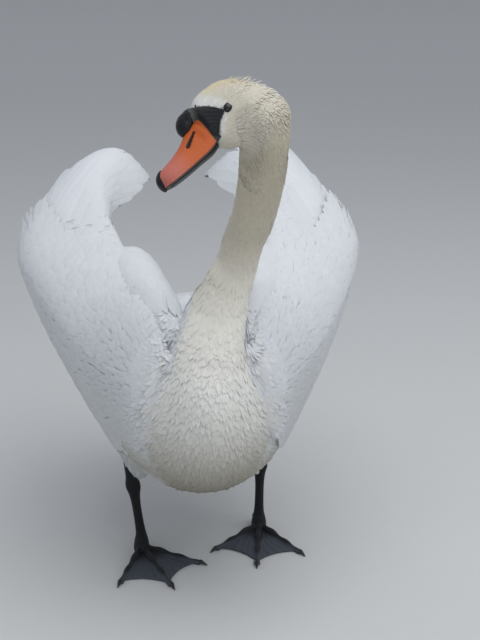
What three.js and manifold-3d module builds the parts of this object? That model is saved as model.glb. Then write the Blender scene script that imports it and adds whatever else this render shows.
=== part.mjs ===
// A mute swan at life size, standing in its threat display: wings arched over the back like two sails,
// neck drawn back in an S, head turned to its own right and dipped.
// Millimetres. The swan faces -Y, its left side is +X, +Z is up, and the soles stand on Z = 0.

import * as THREE from 'three';
import { mergeVertices } from 'three/addons/utils/BufferGeometryUtils.js';
import Module from 'manifold-3d';

const wasm = await Module();
wasm.setup();

// ---------------------------------------------------------------- driving dimensions

const seam = 0.3;               // clear gap between neighbouring pieces
const around = 18;              // facets round the body and neck

const trunk = { tailTip: 455, belly: 158, halfWidth: 160 };
const neckRadius = 33;          // upper neck, feathers included

const head = {
  place: [1.4, -441.6, 800.2],  // middle of the head, level with the eyes
  turn: 65,                     // degrees that the bill points to the swan's right of straight ahead
  dip: 42.7,                    // degrees that it points below the horizon
  roll: 34.4,                   // degrees that the crown leans to the swan's right
};
const eye = { radius: 6.2, halfSpacing: 22.8 };
const bill = { base: 38, tip: 122, halfWidth: 19, upperTip: 119, lowerTip: 113 };
const knob = { along: 43, up: 27, long: 15.5, high: 12, halfWidth: 12.5, tilt: -28 };

const legs = {
  right: { x: -97, y: -3, heading: 18, lean: 0.13 },   // heading in degrees, lean of the shank
  left: { x: 113, y: 57, heading: -9, lean: 0.03 },
};
const ankle = { height: 120, radius: 14 };
const tarsus = { radius: 7.6, foot: 30 };
const toes = [
  { name: 'inner', splay: 40, length: 112, radius: 7.2 },
  { name: 'middle', splay: 0, length: 136, radius: 7.8 },
  { name: 'outer', splay: -38, length: 118, radius: 7.2 },
];
const webThickness = 2.6;
const claw = { length: 13, radius: 3.6, lift: 1.6 };
const hindToe = { splay: 18, stations: [[0, 25, 6], [14, 22, 5.6], [26, 15, 4.6], [34, 9, 2.6]] };

const wing = {
  front: -250,
  coverEnd: 92,                 // where the coverts give way to the sail and the long quills
  back: 452,
  feathers: 8,                  // scallops along the sail's rim
  coverRows: 8,
  fanRows: 16,
  leftReach: 1.5,               // the left rim curls further over the back than the right one
};

// ---------------------------------------------------------------- small helpers

const rad = THREE.MathUtils.degToRad;
const lerp = THREE.MathUtils.lerp;
const vec = (x, y, z) => new THREE.Vector3(x, y, z);

// Smooth curve through [place, value] pairs: cubic pieces whose slopes follow the neighbours.
function track(pairs) {
  const slope = pairs.map((pair, i) => {
    const before = pairs[Math.max(i - 1, 0)];
    const after = pairs[Math.min(i + 1, pairs.length - 1)];
    return (after[1] - before[1]) / (after[0] - before[0]);
  });
  return (place) => {
    const last = pairs.length - 2;
    let i = pairs.findIndex((pair) => place < pair[0]) - 1;
    i = i === -2 ? last : Math.max(i, 0);
    const [x0, y0] = pairs[i];
    const [x1, y1] = pairs[i + 1];
    const h = x1 - x0;
    const t = THREE.MathUtils.clamp((place - x0) / h, 0, 1);
    const ease = t * t * (3 - 2 * t);
    return y0 * (1 - ease) + y1 * ease
      + h * t * (1 - t) * ((1 - t) * slope[i] - t * slope[i + 1]);
  };
}

// Turns a triangle soup the right way round and welds it.
function closedGeometry(positions, triangles) {
  let volume = 0;
  const a = vec(0, 0, 0);
  const b = vec(0, 0, 0);
  const c = vec(0, 0, 0);
  for (const [i, j, k] of triangles) {
    a.fromArray(positions[i].toArray());
    b.fromArray(positions[j].toArray());
    c.fromArray(positions[k].toArray());
    volume += a.dot(b.cross(c));
  }
  const order = volume < 0 ? triangles.map(([i, j, k]) => [i, k, j]) : triangles;
  const geometry = new THREE.BufferGeometry();
  geometry.setAttribute('position', new THREE.Float32BufferAttribute(
    positions.flatMap((point) => point.toArray()), 3));
  geometry.setIndex(order.flat());
  return mergeVertices(geometry, 1e-3);
}

// Skin over a row of convex rings, each end closed by a fan.
function loft(rings) {
  const count = rings[0].length;
  const positions = rings.flat();
  const triangles = [];
  for (let i = 0; i + 1 < rings.length; i += 1) {
    for (let j = 0; j < count; j += 1) {
      const next = (j + 1) % count;
      const [p, q] = [i * count + j, i * count + next];
      triangles.push([p, q, q + count], [p, q + count, p + count]);
    }
  }
  for (const [row, turn] of [[0, true], [rings.length - 1, false]]) {
    const middle = rings[row].reduce((sum, point) => sum.add(point), vec(0, 0, 0));
    const hub = positions.push(middle.divideScalar(count)) - 1;
    for (let j = 0; j < count; j += 1) {
      const p = row * count + j;
      const q = row * count + (j + 1) % count;
      triangles.push(turn ? [q, p, hub] : [p, q, hub]);
    }
  }
  return closedGeometry(positions, triangles);
}

// Plate between an outer and an inner grid of points, closed along its four edges.
function plate(outer, inner) {
  const rows = outer.length;
  const cols = outer[0].length;
  const positions = [...outer.flat(), ...inner.flat()];
  const away = rows * cols;
  const triangles = [];
  const quad = (p, q, r, s) => triangles.push([p, q, r], [p, r, s]);
  for (let i = 0; i + 1 < rows; i += 1) {
    for (let j = 0; j + 1 < cols; j += 1) {
      const p = i * cols + j;
      quad(p, p + 1, p + cols + 1, p + cols);
      quad(away + p + cols, away + p + cols + 1, away + p + 1, away + p);
    }
  }
  for (let i = 0; i + 1 < rows; i += 1) {
    const p = i * cols;
    const q = p + cols - 1;
    quad(p, p + cols, away + p + cols, away + p);
    quad(q + cols, q, away + q, away + q + cols);
  }
  for (let j = 0; j + 1 < cols; j += 1) {
    const q = (rows - 1) * cols + j;
    quad(j + 1, j, away + j, away + j + 1);
    quad(q, q + 1, away + q + 1, away + q);
  }
  return closedGeometry(positions, triangles);
}

// Geometry to a manifold solid and back, keeping the largest piece of a cut.
function solid(geometry) {
  const bare = geometry.clone();
  bare.deleteAttribute('normal');
  bare.deleteAttribute('uv');
  const welded = mergeVertices(bare, 1e-3);
  const index = welded.index.array;
  const triangles = [];
  for (let i = 0; i < index.length; i += 3) {
    const [a, b, c] = index.slice(i, i + 3);
    if (a !== b && b !== c && a !== c) triangles.push(a, b, c);
  }
  return new wasm.Manifold(new wasm.Mesh({
    numProp: 3,
    vertProperties: new Float32Array(welded.attributes.position.array),
    triVerts: new Uint32Array(triangles),
  }));
}

function geometryOf(body) {
  const pieces = body.decompose().sort((a, b) => b.volume() - a.volume());
  const mesh = pieces[0].getMesh();
  const geometry = new THREE.BufferGeometry();
  geometry.setAttribute('position', new THREE.BufferAttribute(mesh.vertProperties, 3));
  geometry.setIndex(new THREE.BufferAttribute(mesh.triVerts, 1));
  return geometry;
}

// Takes away only what really meets the piece, and leaves a piece that meets nothing as it is.
function cut(geometry, ...cutters) {
  const body = solid(geometry);
  const meeting = cutters.map(solid).filter((cutter) => body.intersect(cutter).volume() > 0);
  if (meeting.length === 0) return geometry;
  return geometryOf(meeting.reduce((rest, cutter) => rest.subtract(cutter), body));
}

const join = (...geometries) => geometryOf(
  geometries.slice(1).reduce((body, other) => body.add(solid(other)), solid(geometries[0])));

// ---------------------------------------------------------------- trunk and neck: one long loft

// Each station is a slice from a point on the back line to a point on the belly line, [x, y, z],
// with its half width. Round the foot of the neck the slices fan out from the hollow behind it.
const trunkStations = [
  { back: [0, 312, 322], belly: [0, 312, 302], half: 22 },
  { back: [0, 270, 354], belly: [0, 272, 274], half: 62 },
  { back: [0, 200, 392], belly: [0, 200, 218], half: 110 },
  { back: [0, 110, 430], belly: [0, 100, 173], half: 144 },
  { back: [0, 10, 452], belly: [0, -10, trunk.belly], half: trunk.halfWidth },
  { back: [0, -75, 463], belly: [-1, -105, 161], half: 157 },
  { back: [0, -118, 469], belly: [-3, -188, 183], half: 140 },
  { back: [0, -136, 474], belly: [-4, -252, 224], half: 118 },
  { back: [2, -143, 479], belly: [-5, -293, 276], half: 92 },
  { back: [4, -146, 485], belly: [-5, -308, 331], half: 70 },
  { back: [7, -146, 492], belly: [-3, -301, 384], half: 57 },
  { back: [10, -143, 501], belly: [6, -278, 430], half: 50 },
  { back: [20, -141, 513], belly: [22, -238, 482], half: 44 },
];

// The neck's middle line and radius above those slices, up to the dome that it ends in.
const headBasis = (() => {
  const yaw = rad(head.turn);
  const dip = rad(head.dip);
  const roll = rad(head.roll);
  const forward = vec(-Math.sin(yaw) * Math.cos(dip), -Math.cos(yaw) * Math.cos(dip), -Math.sin(dip));
  const level = vec(Math.cos(yaw), -Math.sin(yaw), 0);
  const upright = forward.clone().cross(level);
  const left = level.multiplyScalar(Math.cos(roll)).addScaledVector(upright, Math.sin(roll));
  return { forward, left, up: forward.clone().cross(left) };
})();

// A point in the head's own frame: mm forward along the bill, up to the crown, out to the swan's left.
function inHead(forward, up, left) {
  return vec(...head.place)
    .addScaledVector(headBasis.forward, forward)
    .addScaledVector(headBasis.up, up)
    .addScaledVector(headBasis.left, left);
}

const neckLine = [
  { at: vec(35, -180, 521), radius: 38 },
  { at: vec(47, -180, 552), radius: 33.8 },
  { at: vec(53, -202, 587), radius: neckRadius },
  { at: vec(59.5, -244, 625), radius: neckRadius },
  { at: vec(60.7, -290, 663), radius: neckRadius },
  { at: vec(57.1, -352, 702), radius: neckRadius },
  { at: inHead(-0.4, -69, -71), radius: neckRadius },
  { at: inHead(-4, -61, -34), radius: 33 },
  { at: inHead(-13, -50, -10), radius: 35 },
  { at: inHead(-21, -36, 0), radius: 39.5 },
  { at: inHead(-24, -20, 0), radius: 37 },
  { at: inHead(-25, -3, 0), radius: 28 },
  { at: inHead(-25, 8, 0), radius: 15 },
];

const bodyStations = (() => {
  const stations = trunkStations.map(({ back, belly, half }) => {
    const rise = vec(...back).sub(vec(...belly)).multiplyScalar(0.5);
    return { centre: vec(...back).sub(rise), rise, side: vec(half, 0, 0) };
  });
  neckLine.forEach(({ at, radius }, i) => {
    const before = neckLine[Math.max(i - 1, 0)].at;
    const after = neckLine[Math.min(i + 1, neckLine.length - 1)].at;
    const along = after.clone().sub(before).normalize();
    const rise = vec(0, 1, 0).addScaledVector(along, -along.y).setLength(radius);
    const side = rise.clone().cross(along).setLength(radius);
    stations.push({ centre: at.clone(), rise, side });
  });
  return stations;
})();

const bodyCurves = ['centre', 'rise', 'side'].map((part) => {
  const curve = new THREE.CatmullRomCurve3(bodyStations.map((station) => station[part]));
  curve.curveType = 'catmullrom';
  return curve;
});

// Ring of the body at station number s (fractions lie between stations), grown by a margin.
function bodyRing(s, grow = 0, shift = 0) {
  const t = s / (bodyStations.length - 1);
  const [centre, rise, side] = bodyCurves.map((curve) => curve.getPoint(t));
  const normal = rise.clone().cross(side).normalize();
  rise.setLength(rise.length() + grow);
  side.setLength(side.length() + grow);
  return Array.from({ length: around }, (_, j) => {
    const angle = (j / around) * Math.PI * 2;
    return centre.clone()
      .addScaledVector(rise, Math.sin(angle))
      .addScaledVector(side, Math.cos(angle))
      .addScaledVector(normal, shift);
  });
}

// Length of body between two stations. The ends stand back half a seam from the next length.
function bodyLength(from, to, rows, grow = 0) {
  const clearance = seam / 2 - grow;
  const rings = Array.from({ length: rows + 1 }, (_, i) => {
    const s = lerp(from, to, i / rows);
    const shift = i === 0 ? -clearance : i === rows ? clearance : 0;
    return bodyRing(s, grow, shift);
  });
  return loft(rings);
}

const cuts = { neck: 12.4, middle: 15.5, upper: 17.6, head: 19.35, top: bodyStations.length - 1 };

const trunkShape = (grow = 0) => bodyLength(0, cuts.neck, 20, grow);
const neckLowerShape = (grow = 0) => bodyLength(cuts.neck, cuts.middle, 6, grow);
const neckMiddleShape = () => bodyLength(cuts.middle, cuts.upper, 4);
const neckUpperShape = () => bodyLength(cuts.upper, cuts.head, 4);

// ---------------------------------------------------------------- head, eyes and bill

// Slices of the head from the bill back to the nape, [forward, up] in the head's frame.
const headStations = [
  { crown: [bill.base, 24], throat: [bill.base, -24], half: 19.5 },
  { crown: [29, 36], throat: [33, -31], half: 22.5 },
  { crown: [16, 42.5], throat: [27, -37], half: 24 },
  { crown: [-3, 41.5], throat: [20, -41], half: 26.2 },
  { crown: [-26, 33], throat: [8, -46], half: 30 },
  { crown: [-44, 13], throat: [-8, -51], half: 31 },
  { crown: [-55, -8], throat: [-26, -50], half: 27 },
  { crown: [-57, -24], throat: [-44, -43], half: 12 },
];

// Ring of slices whose crown and throat points and half width run smoothly through the stations.
function headShape() {
  const rows = 10;
  const middle = new THREE.CatmullRomCurve3(headStations.map(
    ({ crown, throat, half }) => vec((crown[0] + throat[0]) / 2, (crown[1] + throat[1]) / 2, half)));
  const rise = new THREE.CatmullRomCurve3(headStations.map(
    ({ crown, throat }) => vec((crown[0] - throat[0]) / 2, (crown[1] - throat[1]) / 2, 0)));
  middle.curveType = 'catmullrom';
  rise.curveType = 'catmullrom';
  return loft(Array.from({ length: rows + 1 }, (_, i) => {
    const centre = middle.getPoint(i / rows);
    const up = rise.getPoint(i / rows);
    return Array.from({ length: 16 }, (_unused, j) => {
      const angle = (j / 16) * Math.PI * 2;
      return inHead(
        centre.x + up.x * Math.sin(angle),
        centre.y + up.y * Math.sin(angle),
        centre.z * Math.cos(angle));
    });
  }));
}

// Sphere stretched along the head's own axes and tipped by an angle in the head's middle plane.
function headBall(forward, up, left, radii, tilt, segments) {
  const ball = new THREE.SphereGeometry(1, segments, Math.round(segments * 0.6));
  const basis = new THREE.Matrix4().makeBasis(headBasis.forward, headBasis.left, headBasis.up);
  ball.scale(...radii);
  ball.rotateY(rad(-tilt));
  ball.applyMatrix4(basis);
  ball.translate(...inHead(forward, up, left).toArray());
  return ball;
}

const eyeShape = (side, grow = 0) => {
  const r = eye.radius + grow;
  return headBall(0, 0, side * eye.halfSpacing, [r, r, r], 0, 10);
};
const knobShape = (grow = 0) => headBall(
  knob.along, knob.up, 0, [knob.long + grow, knob.halfWidth + grow, knob.high + grow], knob.tilt, 14);

// Upper bill: a dome over a shallow keel. The tracks are [forward, value] in the head's frame.
const ridge = track([[38, 24], [50, 22.5], [66, 17.4], [80, 15], [92, 14.3], [107, 14.2], [114, 12.2],
  [119, 8.5]]);
const mouthLine = track([[38, -15.5], [50, -16.8], [69, -14.3], [85, -12.1], [107, -8], [119, -4.2]]);
const billHalf = track([[38, bill.halfWidth], [66, 17.6], [92, 17.4], [105, 16.4], [113, 13.4], [119, 7]]);
const keel = 1;

function billUpperShape() {
  const from = bill.base + seam;
  const to = bill.upperTip;
  const rows = 8;
  return loft(Array.from({ length: rows + 1 }, (_, i) => {
    const at = lerp(from, to, i / rows);
    const base = mouthLine(at);
    return Array.from({ length: 14 }, (_unused, j) => {
      const angle = (j / 14) * Math.PI * 2;
      const lift = Math.sin(angle);
      const height = lift > 0 ? (ridge(at) - base) * lift ** 0.85 : keel * lift;
      return inHead(at, base + height, billHalf(at) * Math.cos(angle));
    });
  }));
}

// Lower bill: a shallow trough, flat on top, set just inside the upper one's edges.
function billLowerShape() {
  const from = bill.base + seam;
  const to = bill.lowerTip;
  const rows = 6;
  const depth = track([[38, 5.4], [60, 3.6], [90, 2.8], [113, 1.8]]);
  return loft(Array.from({ length: rows + 1 }, (_, i) => {
    const at = lerp(from, to, i / rows);
    const top = mouthLine(at) - keel - seam - 0.1;
    const half = billHalf(at) - 4.2;
    return Array.from({ length: 9 }, (_unused, j) => {
      const angle = (j / 8) * Math.PI;
      return inHead(at, top - depth(at) * Math.sin(angle), half * Math.cos(angle));
    });
  }));
}

// Nail: the hard hooked cap on the tip, [forward, up] of its top and underside with its half width.
const nailStations = [
  { top: [106, 15.6], under: [105, 6], half: 5.5 },
  { top: [111, 15.4], under: [112, -4], half: 8.6 },
  { top: [116.5, 13.2], under: [117, -6.2], half: 8.8 },
  { top: [121, 8.6], under: [121.5, -6.4], half: 6.6 },
  { top: [bill.tip + 1.2, 3], under: [bill.tip + 1.2, -3.4], half: 2.6 },
];

function nailShape(grow = 0) {
  return loft(nailStations.map(({ top, under, half }, i) => {
    const end = i === 0 ? -grow : i === nailStations.length - 1 ? grow : 0;
    const rise = [(top[0] - under[0]) / 2, (top[1] - under[1]) / 2];
    const stretch = 1 + grow / Math.hypot(...rise);
    return Array.from({ length: 14 }, (_, j) => {
      const angle = (j / 14) * Math.PI * 2;
      const lift = Math.sin(angle) * stretch;
      return inHead(
        (top[0] + under[0]) / 2 + rise[0] * lift + end,
        (top[1] + under[1]) / 2 + rise[1] * lift,
        (half + grow) * Math.cos(angle));
    });
  }));
}

// ---------------------------------------------------------------- legs and feet

// Level ring round (x, y) at height z.
function levelRing(x, y, z, halfX, halfY, count) {
  return Array.from({ length: count }, (_, j) => {
    const angle = (j / count) * Math.PI * 2;
    return vec(x + halfX * Math.cos(angle), y + halfY * Math.sin(angle), z);
  });
}

// Feathered thigh: [height, shift along y, half width, half length], from the hock up into the belly.
const thighStations = [
  [141, 4, 14, 15],
  [149, 4, 21, 22],
  [165, 2, 29, 33],
  [188, -6, 38, 50],
  [215, -16, 47, 66],
  [245, -26, 50, 76],
  [275, -34, 40, 70],
];

function thighShape({ x, y }, side, grow = 0) {
  return loft(thighStations.map(([z, shift, halfX, halfY], i) => {
    const lean = 0.02 * (z - 150) * -side;
    const end = i === 0 ? -grow : i === thighStations.length - 1 ? grow : 0;
    return levelRing(x + lean, y + shift, z + end, halfX + grow, halfY + grow, 12);
  }));
}

// Bare shank: [height, shift back, radius] from the top of the foot to well inside the thigh.
const shankStations = [
  [tarsus.foot + seam, 0, 9.6],
  [38, 1, 8.4],
  [55, 2, tarsus.radius],
  [85, 4, tarsus.radius],
  [104, 6, 9.4],
  [ankle.height, 8, ankle.radius],
  [133, 7, 10.6],
  [146, 6, 9.6],
  [178, 2, 9.6],
];

function shankShape({ x, y, lean: slope }, side, grow = 0) {
  return loft(shankStations.map(([z, shift, radius], i) => {
    const lean = side * slope * (z - tarsus.foot);
    const end = i === 0 ? -grow : i === shankStations.length - 1 ? grow : 0;
    return levelRing(x + lean, y + shift, z + end, radius + grow, radius * 1.12 + grow, 10);
  }));
}

// Unit vector on the floor at a heading: 0 is straight ahead, positive turns to the swan's left.
const floorWay = (degrees) => vec(Math.sin(rad(degrees)), -Math.cos(rad(degrees)), 0);

// Upright ring round a point, seen along the way that it is lofted.
function uprightRing(centre, across, radius, count) {
  return Array.from({ length: count }, (_, j) => {
    const angle = (j / count) * Math.PI * 2;
    const rise = vec(0, 0, radius * Math.sin(angle));
    return centre.clone().add(rise).addScaledVector(across, radius * Math.cos(angle));
  });
}

// Toe with a flat sole and three low knuckles.
function toeShape(from, way, length, radius) {
  const across = vec(-way.y, way.x, 0);
  const rows = 6;
  return loft(Array.from({ length: rows + 1 }, (_, i) => {
    const t = i / rows;
    const knuckle = 1 + 0.1 * Math.cos(t * Math.PI * 6);
    const half = radius * lerp(1.1, 0.62, t) * knuckle;
    const height = lerp(21, 6.6, t ** 0.55) * knuckle;
    const centre = from.clone().addScaledVector(way, t * length);
    return Array.from({ length: 6 }, (_unused, j) => {
      const angle = (j / 5) * Math.PI;
      return centre.clone()
        .addScaledVector(across, half * Math.cos(angle))
        .setZ(height * Math.sin(angle));
    });
  }));
}

// Web between the three toes: a flat plate with a hollow edge from tip to tip.
function webShape(from, ways) {
  const reach = ways.map(({ way, length }) => from.clone().addScaledVector(way, length * 0.9));
  const outline = new THREE.Shape();
  outline.moveTo(from.x, from.y);
  outline.lineTo(reach[0].x, reach[0].y);
  for (const [a, b] of [[reach[0], reach[1]], [reach[1], reach[2]]]) {
    const pull = a.clone().add(b).multiplyScalar(0.5).lerp(from, 0.17);
    outline.quadraticCurveTo(pull.x, pull.y, b.x, b.y);
  }
  outline.closePath();
  return new THREE.ExtrudeGeometry(outline, { depth: webThickness, bevelEnabled: false, curveSegments: 5 });
}

function footShapes({ x, y, heading }, side) {
  const from = vec(x, y, 0);
  const ways = toes.map(({ name, splay, length, radius }) => (
    { name, length, radius, way: floorWay(heading - side * splay) }));
  const heel = loft([
    levelRing(x, y + 1, 0, 12.5, 14.5, 12),
    levelRing(x, y + 1, 7, 13.5, 15, 12),
    levelRing(x, y, 18, 12.5, 13, 12),
    levelRing(x, y, tarsus.foot, 10, 11, 12),
  ]);
  const back = floorWay(heading + 180 + side * hindToe.splay);
  const acrossBack = vec(-back.y, back.x, 0);
  const hind = loft(hindToe.stations.map(([out, z, radius]) => (
    uprightRing(from.clone().addScaledVector(back, out).setZ(z), acrossBack, radius, 7))));
  const toeShapes = ways.map(({ way, length, radius }) => toeShape(from, way, length, radius));
  const webbed = join(webShape(from, ways), heel, ...toeShapes);
  const claws = ways.map(({ name, way, length }) => {
    const across = vec(-way.y, way.x, 0);
    const rings = [0, 0.45, 0.8, 1].map((t) => {
      const radius = claw.radius * (1 - 0.82 * t ** 1.3);
      const centre = from.clone().addScaledVector(way, length + seam + claw.length * t);
      return uprightRing(centre.setZ(radius + (1 - t) * claw.lift), across, radius, 6);
    });
    return { name, shape: loft(rings) };
  });
  return { webbed, hind, claws };
}

// ---------------------------------------------------------------- tail

// Fan of stiff feathers, thick at the root, with a scalloped wedge of tips.
const tail = {
  root: 258,
  tip: trunk.tailTip,
  halfRoot: 40,
  halfTip: 66,
  thickRoot: 26,
  thickTip: 4,
  feathers: 7,
};

function tailShape(grow = 0) {
  const rows = 4;
  const cols = 14;
  const surface = (sign) => Array.from({ length: rows + 1 }, (_, i) => (
    Array.from({ length: cols + 1 }, (_unused, j) => {
      const t = i / rows;
      const across = (j / cols) * 2 - 1;
      const scallop = 6 * Math.abs(Math.cos(across * tail.feathers * Math.PI * 0.5));
      const end = tail.tip - 78 * across ** 2 - 6 + scallop;
      const y = lerp(tail.root, end, t) + (i === rows ? grow : 0);
      const half = lerp(tail.halfRoot, tail.halfTip, Math.sin(t * Math.PI * 0.5)) + grow;
      const thick = lerp(tail.thickRoot, tail.thickTip, t ** 0.7) * (1 - 0.45 * across ** 2);
      const droop = 12 * across ** 2;
      return vec(half * across, y, 312 + 10 * t - droop + sign * (thick / 2 + grow));
    })));
  return plate(surface(1), surface(-1));
}

// ---------------------------------------------------------------- wings

// The raised wing is a shell round the side of the body. Slices across it are set by these sizes,
// each [y, value]: how far out it bulges and how high, its top edge, its crest's distance from the
// middle, its lower edge, and how far it curls over the back.
const wingSizes = {
  bulge: track([[-250, 86], [-220, 120], [-160, 168], [-80, 220], [0, 259], [80, 285], [160, 271],
    [240, 238], [320, 200], [400, 148], [452, 100]]),
  bulgeHeight: track([[-250, 350], [-220, 370], [-160, 400], [-80, 438], [0, 474], [80, 504],
    [160, 500], [240, 470], [320, 426], [400, 386], [452, 362]]),
  top: track([[-250, 424], [-220, 460], [-160, 498], [-80, 528], [0, 560], [80, 606], [150, 641],
    [205, 652], [260, 628], [320, 566], [400, 458], [452, 385]]),
  crest: track([[-250, 56], [-220, 72], [-160, 92], [-80, 112], [0, 132], [80, 150], [150, 140],
    [210, 124], [260, 136], [320, 148], [400, 116], [452, 76]]),
  hem: track([[-250, 94], [-220, 106], [-160, 118], [-80, 140], [0, 154], [80, 160], [160, 150],
    [240, 122], [320, 96], [400, 82], [452, 72]]),
  hemHeight: track([[-250, 306], [-220, 280], [-160, 246], [-80, 226], [0, 222], [80, 228], [160, 242],
    [240, 268], [320, 304], [400, 338], [452, 350]]),
  curl: track([[-250, 8], [-160, 24], [-60, 28], [0, 26], [80, 20], [130, 34], [175, 60], [225, 56],
    [265, 26], [320, 14], [400, 10], [452, 6]]),
  curlAngle: track([[-250, 100], [-160, 118], [0, 135], [80, 160], [130, 158], [180, 148], [240, 146],
    [280, 135], [320, 115], [452, 95]]),
};
const wingThickness = {           // share of the way in to the slice's heart, at hem, bulge and rim
  hem: track([[-250, 0.8], [60, 0.85], [130, 0.6], [220, 0.3], [452, 0.22]]),
  bulge: track([[-250, 0.75], [-80, 0.5], [60, 0.3], [160, 0.16], [452, 0.14]]),
  rim: track([[-250, 0.6], [-80, 0.42], [0, 0.2], [80, 0.08], [160, 0.035], [452, 0.09]]),
};
const bulgeAt = 0.45;             // v of the widest line: 0 is the hem, 1 the curled rim
const bulgeGap = 0.0025;          // half the gap in v along it, between sail and primaries
const shoulder = 1.2;             // above 1 draws the shell's shoulder in
const sweep = 0.22;               // how far the upper part leans back for each mm of height

// A point of the wing: side is 1 for left and -1 for right, inside is 0 for the outer face, 1 inner.
function wingPoint(side, y, v, inside) {
  const size = (name) => wingSizes[name](y);
  const reach = side > 0 ? wing.leftReach : 1;
  const bulgeHeight = size('bulgeHeight');
  let out;
  let z;
  if (v < bulgeAt) {
    const drop = 1 - v / bulgeAt;
    out = size('hem') + (size('bulge') - size('hem')) * (1 - drop ** 1.4);
    z = bulgeHeight - (bulgeHeight - size('hemHeight')) * drop;
  } else {
    const angle = rad(size('curlAngle')) * (v - bulgeAt) / (1 - bulgeAt);
    const half = angle < Math.PI / 2 ? size('bulge') - size('crest') : size('curl') * reach;
    out = size('crest') + half * Math.sign(Math.cos(angle)) * Math.abs(Math.cos(angle)) ** shoulder;
    z = bulgeHeight + (size('top') - bulgeHeight) * Math.sin(angle);
  }
  if (inside) {
    const heart = [size('hem') * 0.6, lerp(size('hemHeight'), bulgeHeight, 0.55)];
    const depth = v < bulgeAt
      ? lerp(wingThickness.hem(y), wingThickness.bulge(y), v / bulgeAt)
      : lerp(wingThickness.bulge(y), wingThickness.rim(y), ((v - bulgeAt) / (1 - bulgeAt)) ** 0.7);
    out = lerp(out, heart[0], depth);
    z = lerp(z, heart[1], depth);
  }
  const back = Math.max(z - bulgeHeight, 0) * sweep * (y > -160 ? 1 : 0.5);
  return vec(side * out, y + back, z);
}

// Lines along the wing, evenly spaced below the bulge and above it.
const lowerLines = Array.from({ length: 5 }, (_, j) => bulgeAt * j / 4);
const upperLines = Array.from({ length: 8 }, (_, j) => lerp(bulgeAt, 1, j / 7));

// Part of the wing between two slices, over some of those lines. A scalloped rim ends in feather tips.
function wingPiece(side, from, to, rows, lines, scalloped) {
  const face = (inside) => Array.from({ length: rows + 1 }, (_, i) => {
    const y = lerp(from, to, i / rows);
    const phase = ((y - wing.coverEnd) / (wing.back - wing.coverEnd)) * wing.feathers;
    const notch = scalloped ? 0.055 * (1 - Math.abs(Math.cos(phase * Math.PI))) : 0;
    return lines.map((v) => {
      const drawn = v - notch * Math.max(v - bulgeAt, 0) / (1 - bulgeAt);
      return wingPoint(side, y, drawn, inside);
    });
  });
  return plate(face(0), face(1));
}

// Scapular pad: the mound of feathers over the shoulder, between the neck and the wing.
// [y, distance from the middle, height of its top, half width]
const padStations = [
  [-222, 50, 448, 9],
  [-195, 56, 482, 26],
  [-160, 68, 504, 40],
  [-110, 86, 520, 50],
  [-50, 102, 536, 54],
  [5, 106, 534, 54],
  [65, 100, 512, 48],
  [120, 88, 482, 38],
  [165, 74, 448, 22],
  [190, 66, 425, 8],
];

function padShape(side, grow = 0) {
  return loft(padStations.map(([y, out, top, half], i) => {
    const end = i === 0 ? -grow : i === padStations.length - 1 ? grow : 0;
    const rise = half * 1.25 + grow;
    return Array.from({ length: 12 }, (_, j) => {
      const angle = (j / 12) * Math.PI * 2;
      return vec(
        side * out + (half + grow) * Math.cos(angle),
        y + end,
        top - half * 1.25 + rise * Math.sin(angle));
    });
  }));
}

// ---------------------------------------------------------------- finishes

const finish = (color, roughness) => new THREE.MeshStandardMaterial({ color, roughness, metalness: 0 });
const finishes = {
  white: finish(0xe9edf2, 0.8),
  cream: finish(0xcfc8b8, 0.85),
  orange: finish(0xd9692a, 0.45),
  black: finish(0x17191f, 0.4),
  eye: finish(0x15100d, 0.1),
  leg: finish(0x3a3b40, 0.6),
};

// ---------------------------------------------------------------- assembly

const group = new THREE.Group();
const add = (name, geometry, material) => {
  const mesh = new THREE.Mesh(geometry, material);
  mesh.name = name;
  group.add(mesh);
};

const sides = [['left', 1], ['right', -1]];

add('trunk', trunkShape(), finishes.cream);
add('neck_lower', neckLowerShape(), finishes.cream);
add('neck_middle', neckMiddleShape(), finishes.cream);
add('neck_upper', neckUpperShape(), finishes.cream);

const skull = join(headShape(), bodyLength(cuts.head, cuts.top, 8));
add('head', cut(skull, knobShape(seam), eyeShape(1, seam), eyeShape(-1, seam)), finishes.cream);
add('bill_knob', knobShape(), finishes.black);
add('bill_upper', cut(billUpperShape(), knobShape(seam), nailShape(seam)), finishes.orange);
add('bill_lower', cut(billLowerShape(), nailShape(seam)), finishes.black);
add('bill_nail', nailShape(), finishes.black);

const coverLines = [...lowerLines, ...upperLines.slice(1)];
const sailLines = [bulgeAt + bulgeGap, ...upperLines.slice(1)];
const primaryLines = [...lowerLines.slice(0, -1), bulgeAt - bulgeGap];

for (const [name, side] of sides) {
  const leg = legs[name];
  add(`eye_${name}`, eyeShape(side), finishes.eye);
  const thigh = cut(thighShape(leg, side), trunkShape(seam), shankShape(leg, side, seam));
  add(`thigh_${name}`, thigh, finishes.white);
  const { webbed, hind, claws } = footShapes(leg, side);
  add(`shank_${name}`, cut(shankShape(leg, side), trunkShape(seam), hind), finishes.leg);
  add(`foot_${name}`, join(webbed, hind), finishes.leg);
  claws.forEach(({ name: toe, shape }) => add(`claw_${name}_${toe}`, shape, finishes.black));

  add(`scapulars_${name}`, cut(padShape(side), trunkShape(seam)), finishes.white);
  const coverEnd = wing.coverEnd - seam;
  const cover = wingPiece(side, wing.front, coverEnd, wing.coverRows, coverLines, false);
  const sail = wingPiece(side, wing.coverEnd, wing.back, wing.fanRows, sailLines, true);
  const primaries = wingPiece(side, wing.coverEnd, wing.back, wing.fanRows, primaryLines, false);
  const neighbours = [
    trunkShape(seam), neckLowerShape(seam), thighShape(leg, side, seam), padShape(side, seam)];
  add(`wing_cover_${name}`, cut(cover, ...neighbours), finishes.white);
  add(`wing_sail_${name}`, cut(sail, ...neighbours, tailShape(seam)), finishes.white);
  add(`wing_primaries_${name}`, cut(primaries, ...neighbours, tailShape(seam)), finishes.white);
}

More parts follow.
